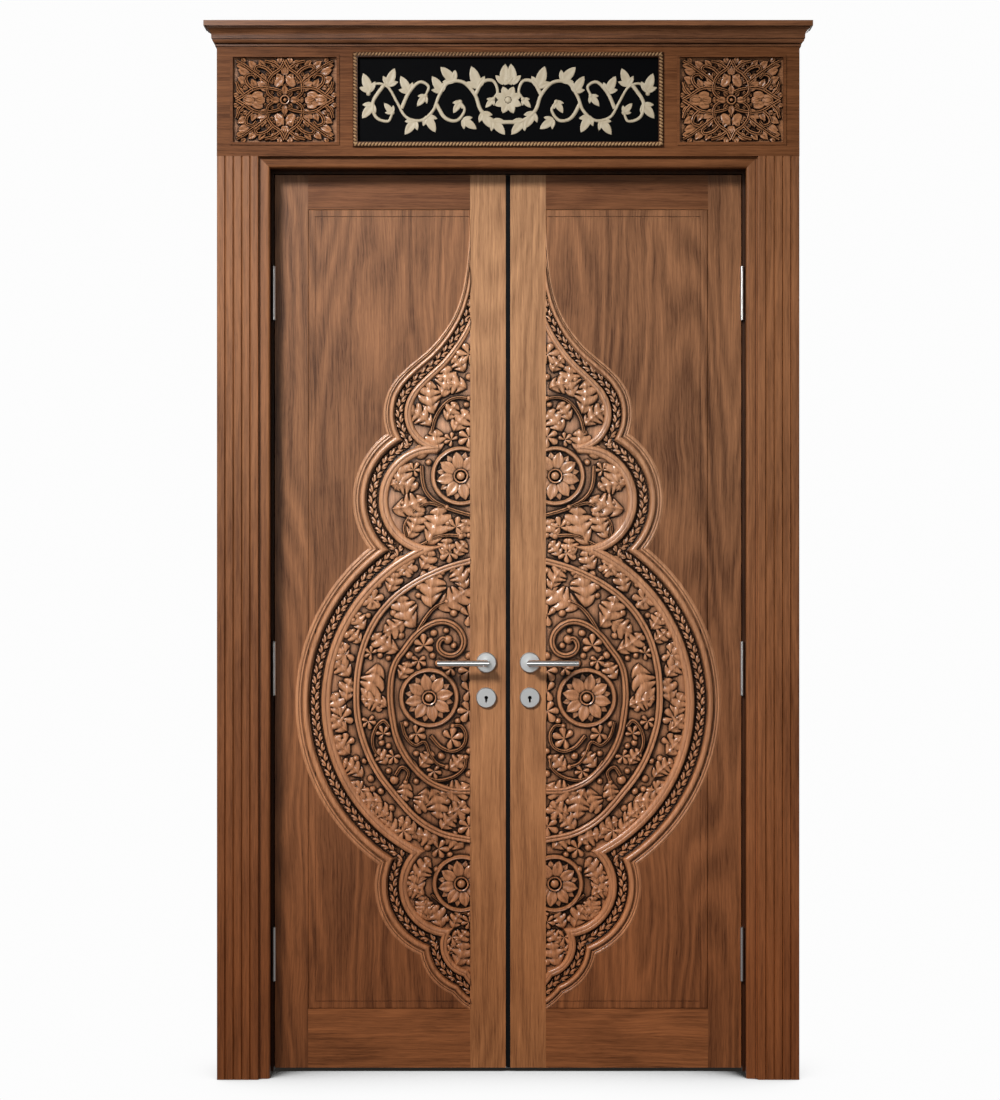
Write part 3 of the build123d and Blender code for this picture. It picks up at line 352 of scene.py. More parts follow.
set_out = nodes_tree("carvings set out on points", Shape="Object", Wood="Material")
entry = tree_node(set_out, "NodeGroupInput")
turn = tree_node(set_out, "GeometryNodeInputNamedAttribute", {"data_type": "FLOAT"}, Name="turn")
size = tree_node(set_out, "GeometryNodeInputNamedAttribute", {"data_type": "FLOAT_VECTOR"}, Name="size")
euler = tree_node(set_out, "ShaderNodeCombineXYZ", Z=turn.outputs["Attribute"])
rotation = tree_node(set_out, "FunctionNodeEulerToRotation", Euler=euler.outputs["Vector"])
shape = tree_node(set_out, "GeometryNodeObjectInfo", Object=entry.outputs["Shape"])
copies = tree_node(set_out, "GeometryNodeInstanceOnPoints", Points=entry.outputs["Geometry"],
                   Instance=shape.outputs["Geometry"], Rotation=rotation.outputs["Rotation"],
                   Scale=size.outputs["Attribute"])
real = tree_node(set_out, "GeometryNodeRealizeInstances", Geometry=copies.outputs["Instances"])
waxed = tree_node(set_out, "GeometryNodeSetMaterial", Geometry=real.outputs["Geometry"],
                  Material=entry.outputs["Wood"])
tree_node(set_out, "NodeGroupOutput", Geometry=waxed.outputs["Geometry"])


def spread(shape, rows, floor, material):
    """Copies of a unit shape from each row's foot to its tip, with its width and height."""
    rows = np.array(rows, float)
    run = rows[:, 2:4] - rows[:, :2]
    long = np.linalg.norm(run, axis=1)
    spots = mesh_object("spots", raised(rows[:, :2], floor), [])
    turn = spots.data.attributes.new("turn", "FLOAT", "POINT")
    turn.data.foreach_set("value", np.arctan2(run[:, 1], run[:, 0]))
    size = spots.data.attributes.new("size", "FLOAT_VECTOR", "POINT")
    size.data.foreach_set("vector", np.c_[long, long * rows[:, 4], rows[:, 5]].ravel())
    pattern = mesh_object("pattern", *shape)
    made = worked(set_out, spots, Shape=pattern, Wood=material)
    bpy.data.objects.remove(pattern)
    return made


def free_places(spots, taken, least, most):
    """Rounds that fill the room left among the spots by those already taken, the largest first."""
    room = np.min([np.hypot(spots[:, 0] - x, spots[:, 1] - y) - r for x, y, r in taken], axis=0)
    found = []
    while room.max() > least:
        x, y = spots[room.argmax()]
        radius = min(room.max(), most)
        found.append((x, y, radius))
        room = np.minimum(room, np.hypot(spots[:, 0] - x, spots[:, 1] - y) - radius)
    return found


LEAST_SKIRT = 1e-5
CARVED_ARRIS = math.radians(48)


def carved_piece(name, patches, face, floor, material, mirror=False, cut=None):
    """Carved patches as one mesh on an upright face; their edges run down to the floor level."""
    bm = bmesh.new()
    for points, faces in patches:
        corners = [bm.verts.new(p) for p in points]
        for face_corners in faces:
            bm.faces.new([corners[i] for i in face_corners])
    if cut is not None:
        everything = bm.verts[:] + bm.edges[:] + bm.faces[:]
        bmesh.ops.bisect_plane(bm, geom=everything, plane_co=(cut, 0, 0), plane_no=(1, 0, 0),
                               clear_inner=True)
    rims = [edge.link_loops[0] for edge in bm.edges if len(edge.link_loops) == 1]
    edges = [(rim.vert, rim.link_loop_next.vert) for rim in rims]
    below = {}
    for corner in dict.fromkeys(v for edge in edges for v in edge):
        below[corner] = bm.verts.new((corner.co.x, corner.co.y, min(floor, corner.co.z - LEAST_SKIRT)))
    for a, b in edges:
        bm.faces.new((b, a, below[a], below[b]))
    side = -1 if mirror else 1
    for corner in bm.verts:
        x, y, z = corner.co
        corner.co = (side * x, face - z, y)
    if mirror:
        bmesh.ops.reverse_faces(bm, faces=bm.faces)
    mesh = bpy.data.meshes.new(name)
    bm.to_mesh(mesh)
    bm.free()
    mesh.polygons.foreach_set("use_smooth", [True] * len(mesh.polygons))
    mesh.set_sharp_from_angle(angle=CARVED_ARRIS)
    mesh.materials.append(material)
    return new_object(name, mesh)


low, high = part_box("right_frieze_carving")
frieze_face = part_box("frieze_board")[0].y
frieze_mid = ((low.x + high.x) / 2, (low.z + high.z) / 2, 0)
FRIEZE_GROUND, FRIEZE_FLOOR = -0.0095, -0.0125
FRIEZE_SHY, FRIEZE_SUNK = 0.001, 0.010
FIELD_MARGIN = 0.003
STRAP_START, STRAP_END, STRAP_CREST, STRAP_GROOVE, STRAP_CLEAR = 0.0112, 0.0088, 0.0006, 0.32, 0.004
FROND_RATIO, FROND_HEIGHT, FROND_RISE, FROND_CLEAR_SHARE = 1.05, 0.0086, 0.0008, 0.3
BUD_RATIO, BUD_HEIGHT, BUD_LEAST, BUD_MOST, BUD_TIP_SHARE = 1.3, 0.0080, 0.0036, 0.009, 1.4
ROSE_CLEAR, ROSE_FOOT = 0.034, 0.012
ROSE_PETALS = ((0.040, 1.0, 0.010), (0.030, 1.0, 0.010))
ROSE_RING_INNER, ROSE_RING_OUTER = 0.0085, 0.0135
ROSE_RING = ((0, -0.002), (0.2, 0.0012), (0.6, 0.0015), (1, -0.002))
ROSE_EYE, ROSE_EYE_HEIGHT = 0.0075, 0.011
# Painted shade: the carving darkens with depth and in its creases and recesses.
frieze_carving_wood = timber("frieze carving wood", "X", (0.175, 0.067, 0.0255), (0.54, 0.245, 0.108), 0.3,
                             (frieze_face - FRIEZE_SHY, frieze_face + FRIEZE_SUNK), 0.06)
QUARTER_STRAPS = (
    ((0.0, 0.96), (0.09, 0.76), (0.24, 0.62), (0.34, 0.42), (0.34, 0.18), (0.22, 0.04)),
    ((0.96, 0.0), (0.80, 0.12), (0.62, 0.26), (0.44, 0.30), (0.20, 0.26), (0.05, 0.20)),
    ((0.34, 0.42), (0.50, 0.58), (0.66, 0.72), (0.80, 0.84), (0.95, 0.94)),
    ((0.62, 0.26), (0.74, 0.40), (0.76, 0.56), (0.64, 0.62), (0.56, 0.52)),
    ((0.24, 0.62), (0.36, 0.76), (0.52, 0.82), (0.58, 0.74), (0.50, 0.66)),
    ((0.80, 0.12), (0.90, 0.26), (0.95, 0.44)),
    ((0.09, 0.76), (0.22, 0.88), (0.40, 0.94)),
)
QUARTER_LEAVES = (
    (0.30, 0.26, 0.56, 0.44), (0.40, 0.40, 0.46, 0.66), (0.06, 0.42, 0.16, 0.66), (0.18, 0.34, 0.02, 0.60),
    (0.44, 0.14, 0.68, 0.10), (0.40, 0.02, 0.60, 0.02), (0.74, 0.42, 0.94, 0.56), (0.70, 0.64, 0.93, 0.74),
    (0.56, 0.74, 0.72, 0.95), (0.40, 0.78, 0.52, 0.97), (0.14, 0.80, 0.30, 0.97), (0.60, 0.06, 0.84, 0.02),
    (0.58, 0.28, 0.66, 0.52), (0.82, 0.16, 0.97, 0.30), (0.02, 0.62, 0.02, 0.86), (0.76, 0.82, 0.97, 0.84),
)
board_width, board_height = (high.x - low.x) / 2, (high.z - low.z) / 2
half_width, half_height = board_width - FIELD_MARGIN, board_height - FIELD_MARGIN
corners = np.array([[(x, y, FRIEZE_GROUND) for x in (-1, 1)] for y in (-1, 1)])
patches = [grid_faces(corners * (board_width, board_height, 1))]
taken = [(0, 0, ROSE_CLEAR)]
for strap in QUARTER_STRAPS:
    taken += [(x, y, STRAP_CLEAR) for x, y in curve_through(metres(strap, half_width, half_height), 4)]
for u0, v0, u1, v1 in QUARTER_LEAVES:
    foot, tip = metres(((u0, v0), (u1, v1)), half_width, half_height)
    long = np.linalg.norm(tip - foot)
    taken += [(*(foot + (tip - foot) * share), long * FROND_CLEAR_SHARE) for share in (0.2, 0.55, 0.9)]
steps = np.arange(0.02, 0.98, 0.02)
spots = metres([(u, v) for u in steps for v in steps], half_width, half_height)
buds = free_places(spots, taken, BUD_LEAST, BUD_MOST)
leaf_rows = []
bud_rows = []
for quarter in ((-1, -1), (-1, 1), (1, -1), (1, 1)):
    half_field = np.multiply(quarter, (half_width, half_height))
    for strap in QUARTER_STRAPS:
        route = metres(strap, *half_field)
        patches.append(stem_patch(route, STRAP_START, STRAP_END, FRIEZE_GROUND, STRAP_CREST, STRAP_GROOVE))
    for number, (u0, v0, u1, v1) in enumerate(QUARTER_LEAVES):
        foot, tip = metres(((u0, v0), (u1, v1)), *half_field)
        leaf_rows.append((*foot, *tip, FROND_RATIO, FROND_HEIGHT + FROND_RISE * (number % 2)))
    for x, y, radius in buds:
        middle = np.multiply(quarter, (x, y))
        way = middle / math.hypot(x, y) * radius
        bud_rows.append((*(middle - way), *(middle + way * BUD_TIP_SHARE), BUD_RATIO, BUD_HEIGHT))
patches.append(spread(petal_shape(), leaf_rows, FRIEZE_GROUND, frieze_carving_wood))
patches.append(spread(petal_shape(5, 4), bud_rows, FRIEZE_GROUND, frieze_carving_wood))
rose = petal_ring((0, 0), 8, ROSE_FOOT, ROSE_PETALS)
patches.append(spread(petal_shape(), rose, FRIEZE_GROUND, frieze_carving_wood))
patches.append(ring_patch((0, 0), ROSE_RING_INNER, ROSE_RING_OUTER, ROSE_RING, 28))
rose_eye = (0, 0, ROSE_EYE, 0, 1.0, ROSE_EYE_HEIGHT)
patches.append(spread(dome_shape(), [rose_eye], FRIEZE_GROUND, frieze_carving_wood))
moved = [(points + frieze_mid, faces) for points, faces in patches]
for side, mirror in (("left", True), ("right", False)):
    carving = carved_piece(side + "_frieze_arabesque", moved, frieze_face, FRIEZE_FLOOR,
                           frieze_carving_wood, mirror)
    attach(carving, "frame")
    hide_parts(side + "_frieze_carving")
give(level_frame_wood, "left_frieze_moulding", "right_frieze_moulding")


# Centre board: a satin black board with cream painted scrollwork, let into the frieze.
# The scrolls are cut from thin wood, rounded and glued on in two mirrored halves.
def plain_finish(name, color, roughness, change, grain, detail, metallic=0.0, sheen=0.5):
    """A finish of one colour whose gloss varies a little, in spots of the grain's fineness."""
    material, shader, value = new_material(name, color, roughness, metallic)
    shader.inputs["Specular IOR Level"].default_value = sheen
    place = value.node("TexCoord", {}, out="Object")
    spots = value.node("TexNoise", {}, Vector=place, Scale=grain, Detail=detail)
    (roughness + spots * change).to(shader.inputs["Roughness"])
    return material


def turned(points, angle):
    """Flat points turned about the origin."""
    turn = ((math.cos(angle), math.sin(angle)), (-math.sin(angle), math.cos(angle)))
    return np.array(points) @ np.array(turn)


black_paint = plain_finish("black satin paint", (0.0015, 0.0016, 0.002), 0.42, 0.2, 60.0, 4.0, sheen=0.02)
give(black_paint, "centre_board")
cream_paint, shader, value = new_material("cream paint", (0.72, 0.62, 0.45), 0.5)
place = value.node("TexCoord", {}, out="Object")
worn = value.node("TexNoise", {}, Vector=place, Scale=40.0, Detail=5.0)
worn.mix((0.34, 0.26, 0.155, 1), (0.50, 0.44, 0.325, 1)).to(shader.inputs["Base Color"])
low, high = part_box("centre_board")
board_face = low.y
board_mid = (low.z + high.z) / 2
SCROLL_STEMS = (
    ((0.0, -0.52), (0.09, -0.50), (0.18, -0.25), (0.22, 0.12), (0.30, 0.42), (0.40, 0.40), (0.46, 0.10),
     (0.50, -0.25), (0.58, -0.48), (0.68, -0.40), (0.74, -0.05), (0.80, 0.30), (0.88, 0.38), (0.93, 0.15)),
    ((0.22, 0.12), (0.17, 0.42), (0.10, 0.45), (0.07, 0.20), (0.10, 0.02)),
    ((0.48, -0.08), (0.42, -0.42), (0.34, -0.48), (0.29, -0.24), (0.32, -0.04)),
    ((0.71, -0.20), (0.66, 0.18), (0.59, 0.42), (0.53, 0.32), (0.55, 0.10)),
    ((0.83, 0.34), (0.90, -0.05), (0.88, -0.40), (0.80, -0.50), (0.77, -0.30)),
)
SPRIG_PETALS = ((0.0, 1.12), (0.85, 0.66), (-0.85, 0.66))
SPRIG_RATIO, SPRIG_HEIGHT = 0.78, 0.0034
SCROLL_START, SCROLL_END, SCROLL_CREST = 0.0100, 0.0060, 0.0028
SCROLL_EYE, SCROLL_FLOOR = 0.0058, -0.0002
BLOOM_FOOT, BLOOM_PETALS = 0.009, ((0.037, 1.15, 0.0036),)
BLOOM_EYE, BLOOM_EYE_HEIGHT = 0.0085, 0.0036
SCROLL_LEAVES = (
    (0.03, 0.38, 0.02, 0.80), (0.10, -0.48, 0.03, -0.78), (0.17, -0.30, 0.12, -0.62),
    (0.20, 0.30, 0.24, 0.74), (0.10, 0.02, 0.145, -0.16), (0.32, -0.04, 0.36, -0.28),
    (0.36, 0.44, 0.44, 0.74), (0.44, 0.20, 0.50, 0.52), (0.54, -0.38, 0.49, -0.72),
    (0.62, -0.48, 0.68, -0.78), (0.55, 0.10, 0.60, -0.12), (0.30, -0.46, 0.22, -0.66),
    (0.66, 0.18, 0.71, 0.52), (0.77, -0.30, 0.82, -0.10), (0.80, 0.34, 0.76, 0.70),
    (0.92, 0.20, 0.96, 0.58), (0.90, -0.10, 0.965, -0.40),
)
half_width, half_height = (high.x - low.x) / 2, (high.z - low.z) / 2
patches = []
leaf_rows = []
eye_rows = []
for side in (-1, 1):
    for row in SCROLL_STEMS:
        route = metres(row, side * half_width, half_height)
        patches.append(stem_patch(route, SCROLL_START, SCROLL_END, 0.0, SCROLL_CREST, 0.0))
        x, y = route[-1]
        eye_rows.append((x, y, x + SCROLL_EYE, y, 1.0, SPRIG_HEIGHT))
    for u0, v0, u1, v1 in SCROLL_LEAVES:
        foot, tip = metres(((u0, v0), (u1, v1)), side * half_width, half_height)
        for lean, reach in SPRIG_PETALS:
            run = turned(tip - foot, lean)
            leaf_rows.append((*foot, *(foot + run * reach), SPRIG_RATIO, SPRIG_HEIGHT))
patches.append(spread(petal_shape(), leaf_rows, 0.0, cream_paint))
bloom = petal_ring((0, 0), 8, BLOOM_FOOT, BLOOM_PETALS, 0.5)
patches.append(spread(petal_shape(), bloom, 0.0, cream_paint))
eye_rows.append((0, 0, BLOOM_EYE, 0, 1.0, BLOOM_EYE_HEIGHT))
patches.append(spread(dome_shape(), eye_rows, 0.0, cream_paint))
patches = [(points + (0, board_mid, 0), faces) for points, faces in patches]
scrolls = carved_piece("centre_scrolls", patches, board_face, SCROLL_FLOOR, cream_paint)
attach(scrolls, "frame")
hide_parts("centre_scrollwork")


# Centre moulding: a bevelled strip planted round the black board with a twisted cord carved along it.
# The cord is gilded and rubbed back to the brown wood in places.
rope_gold = timber("rubbed gilding", "X", (0.10, 0.042, 0.017), (0.52, 0.32, 0.155), 0.0)
dark_moulding_wood = timber("dark moulding wood", "X", (0.02, 0.006, 0.002), (0.09, 0.032, 0.012), 0.3)
give(dark_moulding_wood, "centre_moulding")
runner = nodes_tree("ornament along a line", Shape="Object", Pitch="Float", Wood="Material")
entry = tree_node(runner, "NodeGroupInput")
line = tree_node(runner, "GeometryNodeMeshToCurve", Mesh=entry.outputs["Geometry"])
evenly = tree_node(runner, "GeometryNodeResampleCurve", {"mode": "LENGTH"}, Curve=line.outputs["Curve"],
                   Length=entry.outputs["Pitch"])
heading = tree_node(runner, "GeometryNodeInputTangent")
facing = tree_node(runner, "FunctionNodeAlignRotationToVector", {"axis": "X", "pivot_axis": "Z"},
                   Vector=heading.outputs["Tangent"])
shape = tree_node(runner, "GeometryNodeObjectInfo", Object=entry.outputs["Shape"])
copies = tree_node(runner, "GeometryNodeInstanceOnPoints", Points=evenly.outputs["Curve"],
                   Instance=shape.outputs["Geometry"], Rotation=facing.outputs["Rotation"])
real = tree_node(runner, "GeometryNodeRealizeInstances", Geometry=copies.outputs["Instances"])
waxed = tree_node(runner, "GeometryNodeSetMaterial", Geometry=real.outputs["Geometry"],
                  Material=entry.outputs["Wood"])
tree_node(runner, "NodeGroupOutput", Geometry=waxed.outputs["Geometry"])


def along_line(shape, line, level, pitch, material):
    """Copies of a shape along a flat line, each turned to follow it."""
    start = mesh_object("line", raised(line, level), [], [(i, i + 1) for i in range(len(line) - 1)])
    pattern = mesh_object("pattern", *shape)
    made = worked(runner, start, Shape=pattern, Pitch=pitch, Wood=material)
    bpy.data.objects.remove(pattern)
    return made


low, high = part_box("centre_moulding")
CORD_INSET, CORD_PITCH, CORD_END, CORD_FLOOR = 0.0068, 0.0086, 0.009, -0.0002
STRAND_SIZE = (0.0062, 0.0030, 0.0030)
STRAND_SLANT = math.radians(52)
points, faces = dome_shape(3, 12)
strand = points * STRAND_SIZE
strand[:, :2] = turned(strand[:, :2], STRAND_SLANT)
left, right = low.x + CORD_INSET, high.x - CORD_INSET
bottom, top = low.z + CORD_INSET, high.z - CORD_INSET
turns = []
for ends in (((low.x, bottom), (high.x, bottom)), ((high.x, top), (low.x, top)),
             ((right, low.z), (right, high.z)), ((left, high.z), (left, low.z))):
    start, end = np.array(ends)
    way = (end - start) / np.linalg.norm(end - start)
    line = np.array((start + way * CORD_END, end - way * CORD_END))
    turns.append(along_line((strand, faces), line, 0.0, CORD_PITCH, rope_gold))
cord = carved_piece("centre_cord", turns, low.y, CORD_FLOOR, rope_gold)
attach(cord, "frame")


# Leaves: framed doors of stiles and rails round a flush panel, all oiled hardwood.
# Rails are tenoned between the stiles; the panel floats in a groove, so its grain runs upright.
# Painted light: the meeting stiles get a lighter wood that stands in for the sheen down the middle of the
# doors.
lit_stile_wood = timber("lit stile wood", "Z", (0.138, 0.055, 0.0214), (0.513, 0.263, 0.1235), 0.8)
panel_wood = timber("panel wood", "Z", (0.062, 0.0207, 0.0068), (0.32, 0.139, 0.06), 1.3)
# Painted shade and light: the top rails are a darker copy of the rail wood, the bottom rails a lighter one.
shaded_top_rail_wood = timber("shaded top rail wood", "X", (0.06, 0.019, 0.006), (0.235, 0.091, 0.036), 0.8, sheen=0.12)
lit_bottom_rail_wood = timber("lit bottom rail wood", "X", (0.088, 0.032, 0.0105), (0.40, 0.175, 0.075), 0.8)
for side in ("left_", "right_"):
    give(lit_stile_wood, side + "meeting_stile")
    # Painted shade: the hinge stiles get the darker panel wood, standing in for the shade from the casings.
    give(panel_wood, side + "panel", side + "hinge_stile")
    give(shaded_top_rail_wood, side + "top_rail")
    give(lit_bottom_rail_wood, side + "bottom_rail")


# Medallions: one carved half medallion on each leaf, let into the panel against the meeting stile.
# Lobed mouldings are worked along its edge; foliage and rosettes stand on a sunk ground darkened by painted
# shade.
def joined(patches):
    """Several patches as one list of points and one of faces."""
    points, faces = [], []
    for patch_points, patch_faces in patches:
        start = sum(len(p) for p in points)
        points.append(np.array(patch_points, float))
        faces += [tuple(int(i) + start for i in face) for face in patch_faces]
    return np.vstack(points), faces


def lobe_patch(foot, lean, long, wide, curve, steps=5, across=4, low=0.1, high=1.0, vein=0.14):
    """One rounded finger of a leaf: it leans off the midrib, bows forward and droops at its tip."""
    u = np.linspace(0, 1, steps + 1)[:, None]
    v = np.linspace(-1, 1, across + 1)[None, :]
    turn = lean * (1 - curve * u)
    step = long / steps
    spine_x = foot + np.cumsum(np.cos(turn), axis=0) * step - np.cos(turn[0]) * step
    spine_y = np.cumsum(np.sin(turn), axis=0) * step - np.sin(turn[0]) * step
    half = wide * np.sin(np.pi * (0.17 + 0.81 * u)) ** 0.62
    z = low + (high - low) * np.sin(np.pi * (0.14 + 0.66 * u)) * (1 - 0.62 * v ** 2)
    z = z - vein * np.exp(-(v / 0.3) ** 2) * np.sin(np.pi * u)
    return grid_faces(np.dstack([spine_x - v * half * np.sin(turn), spine_y + v * half * np.cos(turn), z]))


def leaf_shape(lobes, bend):
    """A lobed leaf of unit length along X: veins sink to each notch and a midrib stands up."""
    u = np.linspace(0, 1, lobes * 8 + 1)[:, None]
    v = np.array([-1, -0.85, -0.6, -0.32, -0.12, 0, 0.12, 0.32, 0.6, 0.85, 1])[None, :]
    phase = lobes * u % 1.0
    swell = np.sin(np.pi * phase) ** 0.5
    half = (0.05 + 0.45 * np.sin(np.pi * u ** 0.85) ** 0.7) * (0.54 + 0.46 * swell)
    bulge = 0.12 * np.sin(2 * np.pi * phase) / lobes * (1 - u ** 4)
    z = 0.6 + 0.2 * np.sin(np.pi * u) - 0.3 * v ** 4 + (0.4 * swell ** 4 - 0.3) * np.abs(v) ** 0.7
    z = z + 0.2 * np.exp(-(v / 0.13) ** 2) * (1 - 0.7 * u) - 0.1 * np.exp(-((np.abs(v) - 0.3) / 0.16) ** 2)
    along = u + np.abs(v) ** 1.5 * (0.5 * half * (1 - u) - bulge)
    points, faces = grid_faces(np.dstack([along, v * half, z]))
    x, y = points[:, 0].copy(), points[:, 1].copy()
    turn = bend * (x - 0.5)
    points[:, 0] = 0.5 + np.sin(turn) / bend - y * np.sin(turn)
    points[:, 1] = (np.cos(bend / 2) - np.cos(turn)) / bend + y * np.cos(turn)
    return points, faces


def vine_leaf_shape(around=40):
    """A five-lobed leaf of unit length, its lobes spread like a hand round a low middle."""
    a = np.radians(np.linspace(-150, 150, around + 1))[None, :]
    r = np.array([0.2, 0.45, 0.7, 0.9, 1.0])[:, None]
    lobe = np.abs(np.cos(3 * a)) ** 0.5
    reach = 0.6 * r * (0.62 + 0.38 * lobe) * (1 - 0.08 * np.abs(a))
    z = 0.62 + 0.36 * r * lobe ** 1.5 - 0.4 * r * (1 - lobe) - 0.3 * r ** 5
    points, faces = grid_faces(np.dstack([0.4 + reach * np.cos(a), reach * np.sin(a), z]))
    points = np.vstack([points, [(0.4, 0, 0.62)]])
    return points, [*faces, *[(i, i + 1, len(points) - 1) for i in range(around)]]


leaf_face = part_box("right_meeting_stile")[0].y
stile_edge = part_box("right_meeting_stile")[1].x
panel_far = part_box("right_hinge_stile")[0].x
panel_mid = (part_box("right_bottom_rail")[1].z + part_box("right_top_rail")[0].z) / 2
STILE_PX, PANEL_PX, MIDDLE_PX = 469.3, 308.0, 608.5
scale = (panel_far - stile_edge) / (STILE_PX - PANEL_PX)


def carve(points):
    """Places measured on the left leaf in pixels, as metres on the right leaf's face."""
    points = np.array(points, float)
    return np.stack([stile_edge + (STILE_PX - points[..., 0]) * scale,
                     panel_mid + (MIDDLE_PX - points[..., 1]) * scale], axis=-1)


LOBES = ((441.6, 414.4, 58.6, 0.8), (433.5, 499.9, 81.1, 1.0), (493.6, 701.6, 198.3, 1.0),
         (449.7, 884.0, 75.4, 0.93), (472.1, 942.7, 53.6, 0.8), (498.5, 954.8, 60.0, 0.75))
CROWN = (
    (469.3, 209.0), (468.6, 230.0), (466.9, 255.0), (463.8, 280.0), (459.2, 300.0), (452.0, 318.0),
    (441.5, 334.5), (428.5, 349.5), (415.5, 360.5), (404.0, 370.5), (395.0, 380.0), (388.5, 390.0),
)
LOBE_START, LOBE_END = -0.42, 1.45
CROWN_CLEAR = 6.0
CROWN_SHARES = (0.45, 0.8)


def lobe_meeting(a, b, inset):
    """Where two neighbouring lobes meet at an inset, on their outer side."""
    (ax, ay, ar, share_a), (bx, by, br, share_b) = a, b
    ar, br = ar - share_a * inset, br - share_b * inset
    gap = math.hypot(bx - ax, by - ay)
    ux, uy = (bx - ax) / gap, (by - ay) / gap
    if gap >= ar + br:
        along = ar + (gap - ar - br) / 2
        return ax + ux * along, ay + uy * along
    along = (gap * gap + ar * ar - br * br) / (2 * gap)
    off = math.sqrt(max(ar * ar - along * along, 0))
    return min((ax + ux * along - s * uy * off, ay + uy * along + s * ux * off) for s in (-1, 1))


lobe_x, lobe_y, lobe_radius, _ = LOBES[0]
crown_end = (lobe_x - lobe_radius * math.cos(LOBE_START), lobe_y + lobe_radius * math.sin(LOBE_START))
above = [p for p in CROWN if p[1] < crown_end[1] - CROWN_CLEAR]
crown_line = curve_through([*above, crown_end], 7)
crown_in = sideways(crown_line)
crown_in[-1] = (math.cos(LOBE_START), -math.sin(LOBE_START))
crown_share = np.linspace(*CROWN_SHARES, len(crown_line))[:, None]


def outline_at(inset):
    """The lobed outline drawn in by a number of pixels, from the crown's tip to the foot."""
    line = [crown_line + crown_in * crown_share * inset]
    meetings = [lobe_meeting(a, b, inset) for a, b in zip(LOBES, LOBES[1:])]
    for number, (x, y, radius, share) in enumerate(LOBES):
        r = radius - share * inset
        start, end = LOBE_START, LOBE_END
        if number > 0:
            px, py = meetings[number - 1]
            start = math.atan2(py - y, x - px)
        if number < len(meetings):
            px, py = meetings[number]
            end = math.atan2(py - y, x - px)
        bow = np.linspace(start, end, max(16, int(radius * 0.95)))
        arc = np.stack([x - r * np.cos(bow), y + r * np.sin(bow)], axis=1)
        if number < len(meetings):
            arc[-1] = meetings[number]
        line.append(arc[1:])
    return np.vstack(line)


EDGE_PROFILE = (
    (0.0, 0.0), (0.5, 0.3), (0.9, 1.6), (1.8, 2.6), (2.9, 2.4), (3.4, 1.3), (3.9, 2.2), (4.7, 3.0),
    (5.5, 2.4), (5.9, -1.2), (7.0, -1.4), (7.4, 3.2), (8.0, 5.6), (9.2, 7.2), (10.6, 7.6), (11.7, 6.6),
    (12.4, 4.4), (12.8, 0.5), (13.6, -5.0), (14.4, -6.2), (25.2, -6.2), (25.7, -5.5), (25.9, -0.5),
    (26.3, 2.8), (27.2, 4.8), (28.6, 6.0), (29.6, 6.2), (30.2, 5.4), (30.5, 4.0), (31.2, 3.9),
    (32.4, 3.8), (33.6, 3.0), (34.4, 1.4), (34.9, -2.0), (35.4, -9.5),
)
GROUND, FLOOR = -0.0085, -0.0098
CREST_PROUD, CREST_SUNK = 0.005, 0.009
BAND_INSET, BAND_LEVEL = 19.6, -0.0062
GROUND_INSET, GROUND_UNDER, FIELD_INSET = 34.6, 0.012, 35
SPRIG_LONG, SPRIG_RELIEF = 0.027, 0.0075
SPRIG_LOBES = ((-0.42, 0.95, 0.88, 0.18, 1.1), (-0.1, 0.2, 0.5, 0.14, -3.0))
SPRIG_BACK, SPRIG_ASIDE, BERRY_BACK, BERRY_ASIDE = 0.25, 0.36, 0.3, 0.3
BERRY_SIZE = (0.1, 0.1, 0.9)
# Painted shade: the carving darkens with depth below the crests and in its creases and recesses.
medallion_wood = timber("medallion wood", "Z", (0.186, 0.080, 0.035), (0.66, 0.333, 0.172), 0.35,
                        (leaf_face - CREST_PROUD, leaf_face + CREST_SUNK), 0.1)
rows = [raised(carve(outline_at(inset)), level / 1000) for inset, level in EDGE_PROFILE]
mouldings = [grid_faces(np.array(rows))]
sprig = []
for along, side in ((0.0, 1), (0.5, -1)):
    for foot, lean, long, wide, curve in SPRIG_LOBES:
        points, faces = lobe_patch(foot, side * lean, long, wide, curve)
        sprig.append((points + (along - SPRIG_BACK, -SPRIG_ASIDE * side, 0), faces))
    points, faces = dome_shape(2, 8)
    sprig.append((points * BERRY_SIZE + (along - BERRY_BACK, BERRY_ASIDE * side, 0), faces))
points, faces = joined(sprig)
sprig = (points * (SPRIG_LONG, SPRIG_LONG, SPRIG_RELIEF), faces)
band = carve(outline_at(BAND_INSET))
mouldings.append(along_line(sprig, band, BAND_LEVEL, SPRIG_LONG, medallion_wood))

ground_edge = stile_edge - GROUND_UNDER
ground_line = carve(outline_at(GROUND_INSET))
ground_line = ground_line[ground_line[:, 0] > ground_edge]
ground_back = [(ground_edge, ground_line[-1, 1]), (ground_edge, ground_line[0, 1])]
ground_line = np.vstack([ground_line, ground_back])
triangles = tessellate_polygon([[Vector((x, y, 0)) for x, y in ground_line]])
ground_faces = []
for a, b, c in triangles:
    pa, pb, pc = ground_line[a], ground_line[b], ground_line[c]
    up = (pb[0] - pa[0]) * (pc[1] - pa[1]) - (pb[1] - pa[1]) * (pc[0] - pa[0]) > 0
    ground_faces.append((a, b, c) if up else (a, c, b))
foliage = [(raised(ground_line, GROUND), ground_faces)]

